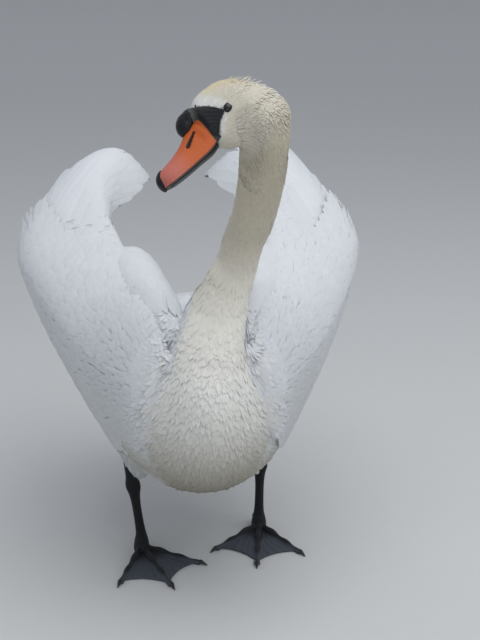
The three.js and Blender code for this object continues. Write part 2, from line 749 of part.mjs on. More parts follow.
add('tail', cut(tailShape(), trunkShape(seam)), finishes.white);

// The part's origin is under the middle of its box, on the floor.
const box = new THREE.Box3().setFromObject(group);
const middle = box.getCenter(vec(0, 0, 0)).setZ(box.min.z).negate();
group.children.forEach((mesh) => mesh.geometry.translate(middle.x, middle.y, middle.z));

export default group;
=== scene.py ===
# %% [markdown]
# # A mute swan in threat display
# A displaying swan arches its wings over its back like two sails, draws its neck back in an S and
# ruffles it. The model is built in the order that a taxidermist would work in: one bare skin over the
# whole body, then its coat, feather by feather, then eyes, bill and feet. First the solid model is
# loaded: its nodes say where everything has to be, and every new piece takes the place of some of them.

# %% Load the solid model
import bpy
import numpy as np
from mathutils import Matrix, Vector


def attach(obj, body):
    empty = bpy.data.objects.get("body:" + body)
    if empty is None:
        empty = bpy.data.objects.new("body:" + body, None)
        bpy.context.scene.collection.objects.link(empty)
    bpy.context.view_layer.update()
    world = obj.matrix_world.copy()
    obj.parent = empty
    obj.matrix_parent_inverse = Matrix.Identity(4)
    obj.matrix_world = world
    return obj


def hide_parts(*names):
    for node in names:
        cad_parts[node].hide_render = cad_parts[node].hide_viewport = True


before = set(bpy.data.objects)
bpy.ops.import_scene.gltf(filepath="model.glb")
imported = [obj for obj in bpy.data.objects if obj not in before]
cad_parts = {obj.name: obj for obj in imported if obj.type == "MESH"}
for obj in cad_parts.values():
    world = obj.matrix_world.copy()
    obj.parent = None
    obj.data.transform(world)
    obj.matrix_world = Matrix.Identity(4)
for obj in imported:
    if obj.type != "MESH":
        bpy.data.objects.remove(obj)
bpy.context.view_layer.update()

# %% [markdown]
# ## The camera
# The camera comes first, because the feathers get their finest detail where it looks. It stands at the
# height of a child's eyes, two metres in front of the bird, and looks a little down and to the side.
# It could be aimed with a Track To constraint, but two plain angles are easier to read and repeat.

# %% The camera
camera_place = Vector((-0.1656, -1.92206, 0.9994))
heading, dip = np.radians([7.0, 16.909])     # to the side, and below the horizon
view_line = Vector((np.sin(heading) * np.cos(dip), np.cos(heading) * np.cos(dip), -np.sin(dip)))
lens = bpy.data.cameras.new("camera")
lens.lens, lens.sensor_width = 70.31, 36     # mm
camera = bpy.data.objects.new("camera", lens)
camera.location = camera_place
camera.rotation_euler = view_line.to_track_quat("-Z", "Y").to_euler()
bpy.context.scene.collection.objects.link(camera)
bpy.context.scene.camera = camera
print("camera at", [round(c, 3) for c in camera_place])

# %% [markdown]
# ## Curves that carry sizes
# An animal has few straight lines, so nearly every size here is a smooth curve through a handful of
# named values. Two kinds are enough: `track` for one number along a line, and `spline` for whole
# points. Both work on whole arrays at once, which is what keeps a hundred thousand feathers quick.

# %% Curves, unit vectors and the way into the model's frame
STAND = np.array([0.0, 17.2375, 0.0])   # mm from the bird's own origin to the model's


def track(x, pairs):
    """Value at x on the curve through (place, value) pairs: a cubic between neighbours whose end
    slopes are the slopes of the chords from the pair before to the pair after."""
    p, q = np.array(pairs, float).T
    x = np.asarray(x, float)
    before = np.maximum(np.arange(len(p)) - 1, 0)
    after = np.minimum(np.arange(len(p)) + 1, len(p) - 1)
    slope = (q[after] - q[before]) / (p[after] - p[before])
    i = np.clip(np.searchsorted(p, x, side="right") - 1, 0, len(p) - 2)
    h = p[i + 1] - p[i]
    t = np.clip((x - p[i]) / h, 0, 1)
    ease = t * t * (3 - 2 * t)
    bend = h * t * (1 - t) * ((1 - t) * slope[i] - t * slope[i + 1])
    return q[i] * (1 - ease) + q[i + 1] * ease + bend


def spline(points, s):
    """Catmull-Rom curve: between points b and c a cubic that leaves b along c - a and reaches c
    along d - b; the ends are carried on in a straight line."""
    points = np.asarray(points, float)
    s = np.clip(np.asarray(s, float), 0, len(points) - 1 - 1e-9)
    ends = [2 * points[:1] - points[1:2], points, 2 * points[-1:] - points[-2:-1]]
    ends = np.concatenate(ends)
    i = s.astype(int)
    t = (s - i)[..., None]
    a, b, c, d = (ends[i + k] for k in range(4))
    return 0.5 * (2 * b + (c - a) * t + (2 * a - 5 * b + 4 * c - d) * t ** 2
                  + (3 * b - a - 3 * c + d) * t ** 3)


def unit(v):
    """Each vector divided by its own length."""
    return v / np.maximum(np.linalg.norm(v, axis=-1, keepdims=True), 1e-9)


def smooth_step(x, low, high):
    """0 below low, 1 above high, and 3t^2 - 2t^3 of the way between them."""
    t = np.clip((x - low) / (high - low), 0, 1)
    return t * t * (3 - 2 * t)


def round_about(count):
    """A row of evenly spaced angles, once round."""
    return np.linspace(0, 2 * np.pi, count, endpoint=False)[None]


def in_model(points):
    """Millimetres in the bird's own frame to metres in the model's."""
    return (np.asarray(points) + STAND) / 1000


def from_model(mesh):
    """A mesh's points, read in one go and turned back into millimetres in the bird's own frame."""
    flat = np.empty(len(mesh.vertices) * 3, np.float32)
    mesh.vertices.foreach_get("co", flat)
    return flat.reshape(-1, 3) * 1000.0 - STAND


def lay_of(shape, u, v, step=1e-3):
    """Point of a surface, the unit directions in which u and v grow, and the unit normal of the two."""
    point = shape(u, v)
    along = unit(shape(u + step, v) - shape(u - step, v))
    across = unit(shape(u, v + step) - shape(u, v - step))
    return point, along, across, unit(np.cross(along, across))


print("a track through 0, 2, 1 is", np.round(track([0, 0.5, 1], [(0, 0), (1, 2), (2, 1)]), 2))

# %% [markdown]
# ## Meshes from grids
# Blender takes a mesh as flat arrays: all points, then all corners of all faces. `foreach_set` copies
# such an array in one go. Three makers cover the whole bird: a tube of rings with closed ends, a slab
# between two sheets, and, further on, feathers. Each turns its faces outwards by the sign of the
# volume that they enclose, so no shape comes out inside out.

# %% Makers of meshes
def volume(points, faces):
    """Signed volume: a sixth of the sum of a . (b x c) over the fans of all faces."""
    total = 0.0
    for face in faces:
        a = points[face[:, 0]]
        for k in range(1, face.shape[1] - 1):
            b, c = points[face[:, k]], points[face[:, k + 1]]
            total += np.einsum("ij,ij->", a, np.cross(b, c)) / 6
    return total


def make_mesh(name, points, faces, spots=None, uvs=None, normals=None):
    """A mesh object from points (m) and face arrays; spots are per-point arrays kept as
    attributes (three columns are a colour), uvs are per-point pairs kept as UV maps, and normals,
    where given, are the directions that the points are shaded by."""
    mesh = bpy.data.meshes.new(name)
    corners = np.concatenate([face.ravel() for face in faces]).astype(np.int32)
    sizes = np.concatenate([np.full(len(face), face.shape[1]) for face in faces])
    starts = (np.cumsum(sizes) - sizes).astype(np.int32)
    mesh.vertices.add(len(points))
    mesh.vertices.foreach_set("co", np.asarray(points, np.float32).ravel())
    mesh.loops.add(len(corners))
    mesh.loops.foreach_set("vertex_index", corners)
    mesh.polygons.add(len(sizes))
    mesh.polygons.foreach_set("loop_start", starts)
    mesh.update(calc_edges=True)
    mesh.polygons.foreach_set("use_smooth", np.ones(len(sizes), bool))
    for label, values in (uvs or {}).items():
        layer = mesh.uv_layers.new(name=label)
        layer.data.foreach_set("uv", values[corners].astype(np.float32).ravel())
    for label, values in (spots or {}).items():
        if values.ndim == 2:
            spot = mesh.attributes.new(label, "FLOAT_COLOR", "POINT")
            rgba = np.concatenate([values, np.ones((len(values), 1))], 1)
            spot.data.foreach_set("color", rgba.astype(np.float32).ravel())
        else:
            spot = mesh.attributes.new(label, "FLOAT", "POINT")
            spot.data.foreach_set("value", values.astype(np.float32))
    if normals is not None:
        mesh.normals_split_custom_set_from_vertices(unit(normals).astype(np.float32))
    piece = bpy.data.objects.new(name, mesh)
    bpy.context.scene.collection.objects.link(piece)
    return piece


def tube(rings):
    """Closed tube: quads between neighbouring rings, fans to the middle of the first and last."""
    rows, count = rings.shape[:2]
    index = np.arange(rows * count).reshape(rows, count)
    turn = np.roll(index, -1, axis=1)
    quads = np.stack([index[:-1], turn[:-1], turn[1:], index[1:]], -1).reshape(-1, 4)
    hubs = np.full(count, rows * count)
    fans = np.concatenate([np.stack([turn[0], index[0], hubs], 1),
                           np.stack([index[-1], turn[-1], hubs + 1], 1)])
    points = np.concatenate([rings.reshape(-1, 3), rings[[0, -1]].mean(1)])
    if volume(points, [quads, fans]) < 0:
        quads, fans = quads[:, ::-1], fans[:, ::-1]
    return points, [quads, fans]


def slab(top, bottom):
    """Closed slab between two sheets of equal size: both sheets and a rim of quads round them."""
    rows, cols = top.shape[:2]
    index = np.arange(rows * cols).reshape(rows, cols)
    sheet = np.stack([index[:-1, :-1], index[:-1, 1:], index[1:, 1:], index[1:, :-1]], -1).reshape(-1, 4)
    edge = np.concatenate([index[0, :-1], index[:-1, -1], index[-1, :0:-1], index[:0:-1, 0]])
    onward = np.roll(edge, -1)
    under = rows * cols
    rim = np.stack([onward, edge, edge + under, onward + under], 1)
    faces = [np.concatenate([sheet, sheet[:, ::-1] + under, rim])]
    points = np.concatenate([top.reshape(-1, 3), bottom.reshape(-1, 3)])
    if volume(points, faces) < 0:
        faces = [face[:, ::-1] for face in faces]
    return points, faces


def gather(parts):
    """Several (points, faces) made one: the later faces count on from the earlier points."""
    points, by_size, start = [], {}, 0
    for part_points, part_faces in parts:
        for face in part_faces:
            by_size.setdefault(face.shape[1], []).append(face + start)
        points.append(part_points)
        start += len(part_points)
    return np.concatenate(points), [np.concatenate(group) for group in by_size.values()]


print("a test tube has", len(tube(np.random.default_rng(1).random((4, 5, 3)))[0]), "points")

# %% [markdown]
# ## The body line
# Trunk, neck and the back of the head are one long tube. Thirteen slices shape the trunk; near the foot
# of the neck they fan out like a hand of cards, because the breast is far longer than the hollow behind
# the neck. Above them a line of balls, each with its own radius, carries the neck up to the head. The
# head has a frame of its own, so that its sizes can be told as forward, up and left in millimetres.

# %% The head's frame and the body's slices
yaw, nod, roll = np.radians([65.0, 42.7, 34.4])
HEAD = np.array([1.4, -441.6, 800.2])
FORWARD = np.array([-np.sin(yaw) * np.cos(nod), -np.cos(yaw) * np.cos(nod), -np.sin(nod)])
level = np.array([np.cos(yaw), -np.sin(yaw), 0])
LEFT = level * np.cos(roll) + np.cross(FORWARD, level) * np.sin(roll)
UP = np.cross(FORWARD, LEFT)


def in_head(forward, up, left):
    """Head's middle + forward, up and left steps along the head's own axes."""
    forward, up, left = np.broadcast_arrays(forward, up, left)
    return HEAD + forward[..., None] * FORWARD + up[..., None] * UP + left[..., None] * LEFT


def head_steps(points):
    """The reverse of in_head: how far forward, up and left of the head's middle each point lies."""
    away = points - HEAD
    return away @ FORWARD, away @ UP, away @ LEFT


trunk_slices = np.array([   # back x y z, belly x y z, half width
    [0, 312, 322, 0, 312, 302, 22], [0, 270, 354, 0, 272, 274, 62], [0, 200, 392, 0, 200, 218, 110],
    [0, 110, 430, 0, 100, 173, 144], [0, 10, 452, 0, -10, 158, 160], [0, -75, 463, -1, -105, 161, 157],
    [0, -118, 469, -3, -188, 183, 140], [0, -136, 474, -4, -252, 224, 118],
    [2, -143, 479, -5, -293, 276, 92], [4, -146, 485, -5, -308, 331, 70],
    [7, -146, 492, -3, -301, 384, 57], [10, -143, 501, 6, -278, 430, 50],
    [20, -141, 513, 22, -238, 482, 44]])
neck_balls = np.array([[35, -180, 521, 38], [47, -180, 552, 33.8], [53, -202, 587, 33],
                       [59.5, -244, 625, 33], [60.7, -290, 663, 33], [57.1, -352, 702, 33]])
nape_balls = np.array([[-0.4, -69, -71, 33], [-4, -61, -34, 33], [-13, -50, -10, 35],
                       [-21, -36, 0, 39.5], [-24, -20, 0, 37], [-25, -3, 0, 28], [-25, 8, 0, 15]])
nape_balls = np.concatenate([in_head(*nape_balls[:, :3].T), nape_balls[:, 3:]], 1)
balls = np.concatenate([neck_balls, nape_balls])

slice_middle = (trunk_slices[:, :3] + trunk_slices[:, 3:6]) / 2
slice_rise = (trunk_slices[:, :3] - trunk_slices[:, 3:6]) / 2
slice_side = trunk_slices[:, 6:] * [1, 0, 0]
order = np.arange(len(balls))
neck_way = unit(balls[np.minimum(order + 1, order[-1]), :3] - balls[np.maximum(order - 1, 0), :3])
neck_rise = unit(np.array([0, 1, 0]) - neck_way * neck_way[:, 1:2]) * balls[:, 3:]
neck_side = unit(np.cross(neck_rise, neck_way)) * balls[:, 3:]
middles = np.concatenate([slice_middle, balls[:, :3]])
rises = np.concatenate([slice_rise, neck_rise])
sides = np.concatenate([slice_side, neck_side])


def body(s, turn, depth=0.0):
    """Middle of slice s + rise x sin(turn) + side x cos(turn), both shortened by the depth."""
    s, turn = np.broadcast_arrays(np.asarray(s, float), turn)
    depth = np.broadcast_to(depth, s.shape)[..., None]
    rise, side = spline(rises, s), spline(sides, s)
    rise = rise - unit(rise) * depth
    side = side - unit(side) * depth
    return spline(middles, s) + rise * np.sin(turn)[..., None] + side * np.cos(turn)[..., None]


head_slices = np.array([   # crown forward up, throat forward up, half width
    [38, 24, 38, -24, 19.5], [29, 36, 33, -31, 22.5], [16, 42.5, 27, -37, 24], [-3, 41.5, 20, -41, 26.2],
    [-26, 33, 8, -46, 30], [-44, 13, -8, -51, 31], [-55, -8, -26, -50, 27], [-57, -24, -44, -43, 12]])


def skull(s, turn, depth=0.0):
    """Ellipse from throat to crown in slice s, as wide as the half width, shortened by the depth."""
    s, turn, depth = np.broadcast_arrays(np.asarray(s, float), turn, depth)
    row = spline(head_slices, s)
    middle = (row[..., 0:2] + row[..., 2:4]) / 2
    rise = (row[..., 0:2] - row[..., 2:4]) / 2
    rise = rise - unit(rise) * depth[..., None]
    place = middle + rise * np.sin(turn)[..., None]
    return in_head(place[..., 0], place[..., 1], (row[..., 4] - depth) * np.cos(turn))


print("neck runs from", np.round(middles[12]), "to", np.round(middles[-1]), "mm")

# %% [markdown]
# ## The raised wing
# Each wing is a curved shell round the side of the body. A slice across it at y goes from its hem, out
# to the bulge, up over the crest and down inside as a curl. Eleven tracks along y steer that slice.
# A sculpted mesh would give the same look once, but as a function the shell can also be asked for its
# direction anywhere, and that is what lays the feathers.

# %% The wing's shell
WING = {
    "bulge": [(-250, 86), (-220, 120), (-160, 168), (-80, 220), (0, 259), (80, 285), (160, 271),
              (240, 238), (320, 200), (400, 148), (452, 100)],
    "bulge height": [(-250, 350), (-220, 370), (-160, 400), (-80, 438), (0, 474), (80, 504), (160, 500),
                     (240, 470), (320, 426), (400, 386), (452, 362)],
    "top": [(-250, 424), (-220, 460), (-160, 498), (-80, 528), (0, 560), (80, 606), (150, 641),
            (205, 652), (260, 628), (320, 566), (400, 458), (452, 385)],
    "crest": [(-250, 56), (-220, 72), (-160, 92), (-80, 112), (0, 132), (80, 150), (150, 140),
              (210, 124), (260, 136), (320, 148), (400, 116), (452, 76)],
    "hem": [(-250, 94), (-220, 106), (-160, 118), (-80, 140), (0, 154), (80, 160), (160, 150),
            (240, 122), (320, 96), (400, 82), (452, 72)],
    "hem height": [(-250, 306), (-220, 280), (-160, 246), (-80, 226), (0, 222), (80, 228), (160, 242),
                   (240, 268), (320, 304), (400, 338), (452, 350)],
    "curl": [(-250, 8), (-160, 24), (-60, 28), (0, 26), (80, 20), (130, 34), (175, 60), (225, 56),
             (265, 26), (320, 14), (400, 10), (452, 6)],
    "curl angle": [(-250, 100), (-160, 118), (0, 135), (80, 160), (130, 158), (180, 148), (240, 146),
                   (280, 135), (320, 115), (452, 95)],
    "hem depth": [(-250, 0.8), (60, 0.85), (130, 0.6), (220, 0.3), (452, 0.22)],
    "bulge depth": [(-250, 0.75), (-80, 0.5), (60, 0.3), (160, 0.16), (452, 0.14)],
    "rim depth": [(-250, 0.6), (-80, 0.42), (0, 0.2), (80, 0.08), (160, 0.035), (452, 0.09)],
}
BULGE_AT, SHOULDER, SWEEP = 0.45, 1.2, 0.22
LEFT_REACH = 1.5                 # the left rim curls further over the back than the right one


def wing(side, y, v, inside=0.0):
    """Point of the shell: v 0 is the hem, 0.45 the bulge, 1 the rim. Below the bulge, out grows as
    1 - drop^1.4; above it, out and height follow cos and sin of an angle that grows with v.
    Then the point moves the share 'inside' of the shell's thickness towards the slice's heart."""
    y, v = np.broadcast_arrays(np.asarray(y, float), np.asarray(v, float))
    size = {name: track(y, pairs) for name, pairs in WING.items()}
    drop = 1 - v / BULGE_AT
    low_out = size["hem"] + (size["bulge"] - size["hem"]) * (1 - np.abs(np.clip(drop, 0, None)) ** 1.4)
    low_z = size["bulge height"] - (size["bulge height"] - size["hem height"]) * drop
    angle = np.radians(size["curl angle"]) * (v - BULGE_AT) / (1 - BULGE_AT)
    reach = size["curl"] * (LEFT_REACH if side > 0 else 1)
    half = np.where(angle < np.pi / 2, size["bulge"] - size["crest"], reach)
    high_out = size["crest"] + half * np.sign(np.cos(angle)) * np.abs(np.cos(angle)) ** SHOULDER
    high_z = size["bulge height"] + (size["top"] - size["bulge height"]) * np.sin(angle)
    out, z = np.where(v < BULGE_AT, low_out, high_out), np.where(v < BULGE_AT, low_z, high_z)
    heart_out = size["hem"] * 0.6
    heart_z = size["hem height"] * 0.45 + size["bulge height"] * 0.55
    below = np.clip(v / BULGE_AT, 0, 1)
    above = np.clip((v - BULGE_AT) / (1 - BULGE_AT), 0, 1) ** 0.7
    depth = np.where(v < BULGE_AT, size["hem depth"] * (1 - below) + size["bulge depth"] * below,
                     size["bulge depth"] * (1 - above) + size["rim depth"] * above) * inside
    out, z = out + (heart_out - out) * depth, z + (heart_z - z) * depth
    back = np.maximum(z - size["bulge height"], 0) * SWEEP * np.where(y > -160, 1, 0.5)
    return np.stack([side * out, y + back, z], -1)


def ledge(v):
    """The y where the small feathers of the wing end and the long ones begin to show."""
    return track(v, [(-0.2, 62), (0, 66), (0.3, 82), (0.45, 94), (0.53, 104), (0.575, 124), (0.605, 112),
                     (0.63, 74), (0.67, 26), (0.72, 6), (0.76, 18), (0.81, 50), (0.87, 62), (1.1, 66)])


print("rim of the right sail at y 200:", np.round(wing(-1, 200, 1.0)))

# %% [markdown]
# ## Shoulder mounds and thighs
# Between neck and wing lies a mound of scapular feathers, and the thighs are feathered down to the
# hock. Both are tubes of ellipses, simple enough to write as rows of numbers.

# %% Mounds and thighs
mound_rows = np.array([   # y, out, top, half width
    [-222, 50, 448, 9], [-195, 56, 482, 26], [-160, 68, 504, 40], [-110, 86, 520, 50],
    [-50, 102, 536, 54], [5, 106, 534, 54], [65, 100, 512, 48], [120, 88, 482, 38], [165, 74, 448, 22],
    [190, 66, 425, 8]])


def mound(side, s, turn, depth=0.0):
    """Ellipse across the back in row s, a quarter taller than wide, with its top on the row's top."""
    s, turn = np.broadcast_arrays(np.asarray(s, float), turn)
    y, out, top, half = np.moveaxis(spline(mound_rows, s), -1, 0)
    wide, tall = np.maximum(half - depth, 2), np.maximum(half * 1.25 - depth, 2)
    return np.stack([side * out + wide * np.cos(turn), y,
                     top - half * 1.25 + tall * np.sin(turn)], -1)


LEGS = {"right": dict(side=-1, x=-97, y=-3, heading=18, lean=0.13),
        "left": dict(side=1, x=113, y=57, heading=-9, lean=0.03)}
thigh_rows = np.array([   # height, shift back, half width, half length
    [141, 4, 14, 15], [149, 4, 21, 22], [165, 2, 29, 33], [188, -6, 38, 50], [215, -16, 47, 66],
    [245, -26, 50, 76], [275, -34, 40, 70]])


def thigh(leg, s, turn, depth=0.0):
    """Level ellipse round the leg's line in row s."""
    s, turn = np.broadcast_arrays(np.asarray(s, float), turn)
    z, shift, wide, long = np.moveaxis(spline(thigh_rows, s), -1, 0)
    x = leg["x"] - leg["side"] * 0.02 * (z - 150)
    return np.stack([x + np.maximum(wide - depth, 3) * np.cos(turn),
                     leg["y"] + shift + np.maximum(long - depth, 3) * np.sin(turn), z], -1)


print("left thigh spans", np.round(np.ptp(thigh(LEGS["left"], np.arange(7), 0)[:, 2])), "mm of height")

# %% [markdown]
# ## One skin
# Under its feathers a bird is one unbroken skin, so here too: body, head, thighs, mounds and the two
# wing arms are made as closed tubes and slabs, each drawn in from the coat's outer face by the coat's
# depth, and a voxel Remesh melts them into one surface. Boolean unions would keep sharper creases, but
# creases are just what skin doesn't have. Three rounds of Smooth take away the steps of the voxels.

# %% Melting shapes into one
def melted(parts, voxel, rounds):
    """Closed shapes (mm) made one by a Remesh with voxels of so many metres, then eased by rounds of
    Smooth. Gives the points (mm) and faces, and leaves no object behind."""
    points, faces = gather(parts)
    lump = make_mesh("lump", in_model(points), faces)
    melt = lump.modifiers.new("melt", "REMESH")
    melt.mode, melt.voxel_size = "VOXEL", voxel
    ease = lump.modifiers.new("ease", "SMOOTH")
    ease.factor, ease.iterations = 0.5, rounds
    mesh = lump.evaluated_get(bpy.context.evaluated_depsgraph_get()).to_mesh()
    corners = np.empty(len(mesh.loops), np.int32)
    mesh.loops.foreach_get("vertex_index", corners)
    sizes = np.empty(len(mesh.polygons), np.int32)
    mesh.polygons.foreach_get("loop_total", sizes)
    starts = np.cumsum(sizes) - sizes
    split = [corners[starts[sizes == n][:, None] + np.arange(n)] for n in np.unique(sizes)]
    points = from_model(mesh)
    bpy.data.objects.remove(lump)
    return points, split


print("made a melter of shapes")


# %% The skin
def body_depth(s):
    """How far the skin lies under the coat along the body: deep on the trunk, thin on the neck."""
    return track(s, [(0, 5), (3, 7), (9, 6), (12, 5), (14, 4), (19, 3.4), (24.9, 3)])


HEAD_DEPTH, THIGH_DEPTH, MOUND_DEPTH, WING_DEPTH = 2.6, 5, 9, 6     # mm of coat over the skin
turns, half_turns = round_about(72), round_about(72)[:, ::2]
s_line = np.linspace(0.3, 24.7, 260)[:, None]
parts = [tube(body(s_line, turns, body_depth(s_line))),
         tube(skull(np.linspace(0, 6.9, 60)[:, None], turns, HEAD_DEPTH))]
for leg in LEGS.values():
    parts.append(tube(thigh(leg, np.linspace(0.2, 6, 30)[:, None], half_turns, THIGH_DEPTH)))
    parts.append(tube(mound(leg["side"], np.linspace(0.5, 8.6, 50)[:, None], half_turns, MOUND_DEPTH)))
    y_line, v_line = np.linspace(-243, 88, 60)[:, None], np.linspace(0.02, 0.97, 48)[None]
    outer, inner = wing(leg["side"], y_line, v_line), wing(leg["side"], y_line, v_line, 1)
    span = np.linalg.norm(outer - inner, axis=-1, keepdims=True)
    beyond = smooth_step(y_line - ledge(v_line), -42, -12)[..., None]
    parts.append(slab(outer + (inner - outer) * np.minimum((WING_DEPTH + 0.5 + 11 * beyond) / span, 0.5),
                      inner + (outer - inner) * np.minimum(WING_DEPTH / span, 0.3)))
skin_points, skin_faces = melted(parts, 0.0042, 3)
print("skin:", len(skin_points), "points,", sum(len(f) * (f.shape[1] - 2) for f in skin_faces), "triangles")

# %% [markdown]
# ## Markings
# A mute swan is white, but not one white. Wings, back and mounds are clean and faintly blue, a little
# darker towards the hem with painted shade; neck and breast are a warm cream grey, darkened towards the
# belly with painted shade; the crown is tan; and the bare face is black. Skin and
# feathers both ask this one function for their colour, so they always agree. The colours are linear.

# %% Where each colour lies
WHITE = np.array([0.77, 0.79, 0.815])
NAPE = np.array([0.74, 0.74, 0.72])
TAN = np.array([0.70, 0.60, 0.41])
CHEEK = np.array([0.68, 0.64, 0.54])
ORANGE, PINK = np.array([0.60, 0.120, 0.022]), np.array([0.58, 0.17, 0.125])
BARE = np.array([0.010, 0.011, 0.014])
# Cream of neck and breast by height; the dark tones low on the breast and belly are painted shade.
cream_and_shade_by_height = np.array([   # height, then red, green and blue
    [150, 0.16, 0.145, 0.11], [215, 0.25, 0.23, 0.18], [260, 0.42, 0.40, 0.34], [300, 0.58, 0.565, 0.51],
    [340, 0.74, 0.73, 0.68], [400, 0.89, 0.88, 0.83], [500, 0.86, 0.83, 0.74], [560, 0.80, 0.75, 0.64],
    [600, 0.66, 0.61, 0.49], [680, 0.62, 0.56, 0.43], [760, 0.62, 0.56, 0.43]])


def in_mask(forward, up):
    """How many mm a place on the head lies inside the black mask: forward of a line that runs from
    the knob down to the eye's corner and from there back down to the gape."""
    edge = track(up, [(-26, 55), (-19.5, 45), (-12.7, 32.4), (-3.3, 17.3), (0, 6.5), (3, 5), (6, 6.5),
                      (16, 11), (27.3, 18.4), (34.3, 27.9), (42, 37)])
    return forward - edge


def on_bill(forward, up):
    """1 where the orange is: ahead of a line that leans back from the gape to the knob."""
    ahead = forward - track(up, [(-16, 39.6), (-12, 38.6), (18, 33.0), (21, 36)])
    return smooth_step(ahead, -0.3, 0.6) * smooth_step(up, -15.5, -14) * (1 - smooth_step(up, 20, 22))


def mixed(tone, other, share):
    """Each colour moved by its share towards another one."""
    return tone + (other - tone) * share[:, None]


def white_shaded_low(points):
    """White with painted shade: a little darker towards the hem, most of all in blue."""
    # painted shade: 12 to 14 parts in a hundred darker from 470 mm down to 200 mm
    return WHITE * (1 - smooth_step(-points[..., 2:], -470, -200) * np.array([0.12, 0.12, 0.14]))


def markings(points, wavy=0.0):
    """Blend of the colours by place: cream tones by height on neck and breast, with painted shade low
    down, white with painted shade towards the hem behind the breast's edge, tan on the crown, black in
    the mask. 'wavy' shifts the breast's edge by so many mm."""
    x, y, z = points.T
    forward, up, left = head_steps(points)
    # Tones by height: cream, with painted shade darkening the breast towards the belly.
    tone = np.stack([np.interp(z, cream_and_shade_by_height[:, 0], cream_and_shade_by_height[:, k]) for k in (1, 2, 3)], 1)
    edge = track(z, [(250, -236), (318, -243), (350, -244), (382, -245), (420, -240), (451, -226),
                     (478, -203), (503, -180), (520, -135), (700, -130)])
    side_reach = 60 + 0.35 * np.maximum(y + 330, 0)
    back = smooth_step(y - edge + wavy, -6, 7) * smooth_step(z, 215, 330)
    back = np.maximum(back, smooth_step(np.abs(x) - side_reach, 0, 45) * smooth_step(z, 215, 300) * (z < 540))
    back = np.maximum(back, smooth_step(y, 90, 230) * smooth_step(z, 170, 230))
    back = np.maximum(back, 0.8 * smooth_step(np.abs(x), 52, 74) * (1 - smooth_step(z, 200, 260)))
    # white behind the breast's edge, with its painted shade towards the hem
    tone = tone + (white_shaded_low(points) - tone) * back[:, None]
    from_head = np.hypot(np.hypot(forward + 12, up), left * 0.8)
    on_head = 1 - smooth_step(from_head, 48, 70)
    tone = mixed(tone, CHEEK, on_head * 0.8)
    brow = smooth_step(up, 14, 26) * smooth_step(forward, 0, 16) * on_head
    tone = mixed(tone, NAPE, brow * 0.7)
    crown = smooth_step(up - 0.5 * forward, 22, 38) * (1 - smooth_step(forward, -2, 14))
    nape = (1 - smooth_step(forward, -56, -42)) * smooth_step(up, -42, 4) * on_head
    tone = mixed(mixed(tone, TAN, crown * on_head), NAPE, nape)
    border = in_mask(forward, up)
    ahead = on_head * (forward > 0)
    tone = mixed(tone, NAPE, (1 - smooth_step(np.abs(border + 4), 2, 8)) * ahead * 0.75)
    tone = mixed(tone, BARE, smooth_step(border, -0.4, 0.6) * ahead)
    return mixed(tone, ORANGE, on_bill(forward, up) * ahead)


print("breast", np.round(markings(np.array([[0.0, -300, 300]])), 2), "back",
      np.round(markings(np.array([[60.0, 20, 480]])), 2))

# %% [markdown]
# ## Materials that are worked out, not painted
# Every finish is a small net of nodes: a noise for unevenness, a wave or cells for structure, and a
# bump from the same pattern, so that colour and relief belong together. `finish` wires the common part:
# a colour attribute that the mesh carries, varied by a pattern, and a Principled shader.

# %% A maker of finishes
PATTERNS = {   # the node, the outlet that carries the pattern, and fixed settings
    "noise": ("ShaderNodeTexNoise", "Fac", {"Detail": 6}),
    "barbs": ("ShaderNodeTexWave", "Fac", {"Distortion": 1.5, "Detail": 2}),
    "cells": ("ShaderNodeTexVoronoi", "Distance", {}),
}


def set_up(node, **values):
    """Sets a node's sockets, each named with _ for a space, and gives the node back."""
    for socket, value in values.items():
        node.inputs[socket.replace("_", " ")].default_value = value
    return node


def finish(name, rough, pattern="noise", size=400, depth=0.25, dark=0.12, base=None, gloss=0.4,
           sheen=0.0, coat=0.0, stretch=(1, 1, 1), source="Object"):
    """Principled shader. Colour = 'Hue' attribute (or base) x (1 - dark x (1 - pattern)); the pattern
    also goes into a bump of that depth in mm. It is scaled by size and stretch, and lies on Object
    coordinates or on the UV map that 'source' names."""
    material = bpy.data.materials.new(name)
    material.use_nodes = True
    net, wire = material.node_tree.nodes, material.node_tree.links.new
    shader = set_up(net["Principled BSDF"], Roughness=rough, Specular_IOR_Level=gloss, Sheen_Weight=sheen,
                    Sheen_Roughness=0.5, Coat_Weight=coat, Coat_Roughness=0.12)
    if source == "Object":
        place = net.new("ShaderNodeTexCoord").outputs["Object"]
    else:
        vane = net.new("ShaderNodeUVMap")
        vane.uv_map = source
        place = vane.outputs["UV"]
    turn = set_up(net.new("ShaderNodeMapping"), Scale=stretch)
    kind, outlet, settings = PATTERNS[pattern]
    maker = set_up(net.new(kind), Scale=size, **settings)
    if pattern == "barbs":
        maker.bands_direction = "DIAGONAL"
    if pattern == "cells":
        maker.feature = "DISTANCE_TO_EDGE"
    wire(place, turn.inputs["Vector"])
    wire(turn.outputs["Vector"], maker.inputs["Vector"])
    wave = maker.outputs[outlet]
    if pattern == "cells":
        grey = set_up(net.new("ShaderNodeMapRange"), From_Max=0.16)
        wire(wave, grey.inputs["Value"])
        wave = grey.outputs["Result"]
    bump = set_up(net.new("ShaderNodeBump"), Strength=0.6, Distance=depth / 1000)
    wire(wave, bump.inputs["Height"])
    wire(bump.outputs["Normal"], shader.inputs["Normal"])
    shade = set_up(net.new("ShaderNodeMapRange"), To_Min=1 - dark, To_Max=1.0)
    wire(wave, shade.inputs["Value"])
    hue = net.new("ShaderNodeVectorMath")
    hue.operation = "SCALE"
    if base is None:
        carried = net.new("ShaderNodeAttribute")
        carried.attribute_name = "Hue"
        wire(carried.outputs["Color"], hue.inputs[0])
    else:
        hue.inputs[0].default_value = base
    wire(shade.outputs["Result"], hue.inputs["Scale"])
    wire(hue.outputs["Vector"], shader.inputs["Base Color"])
    return material


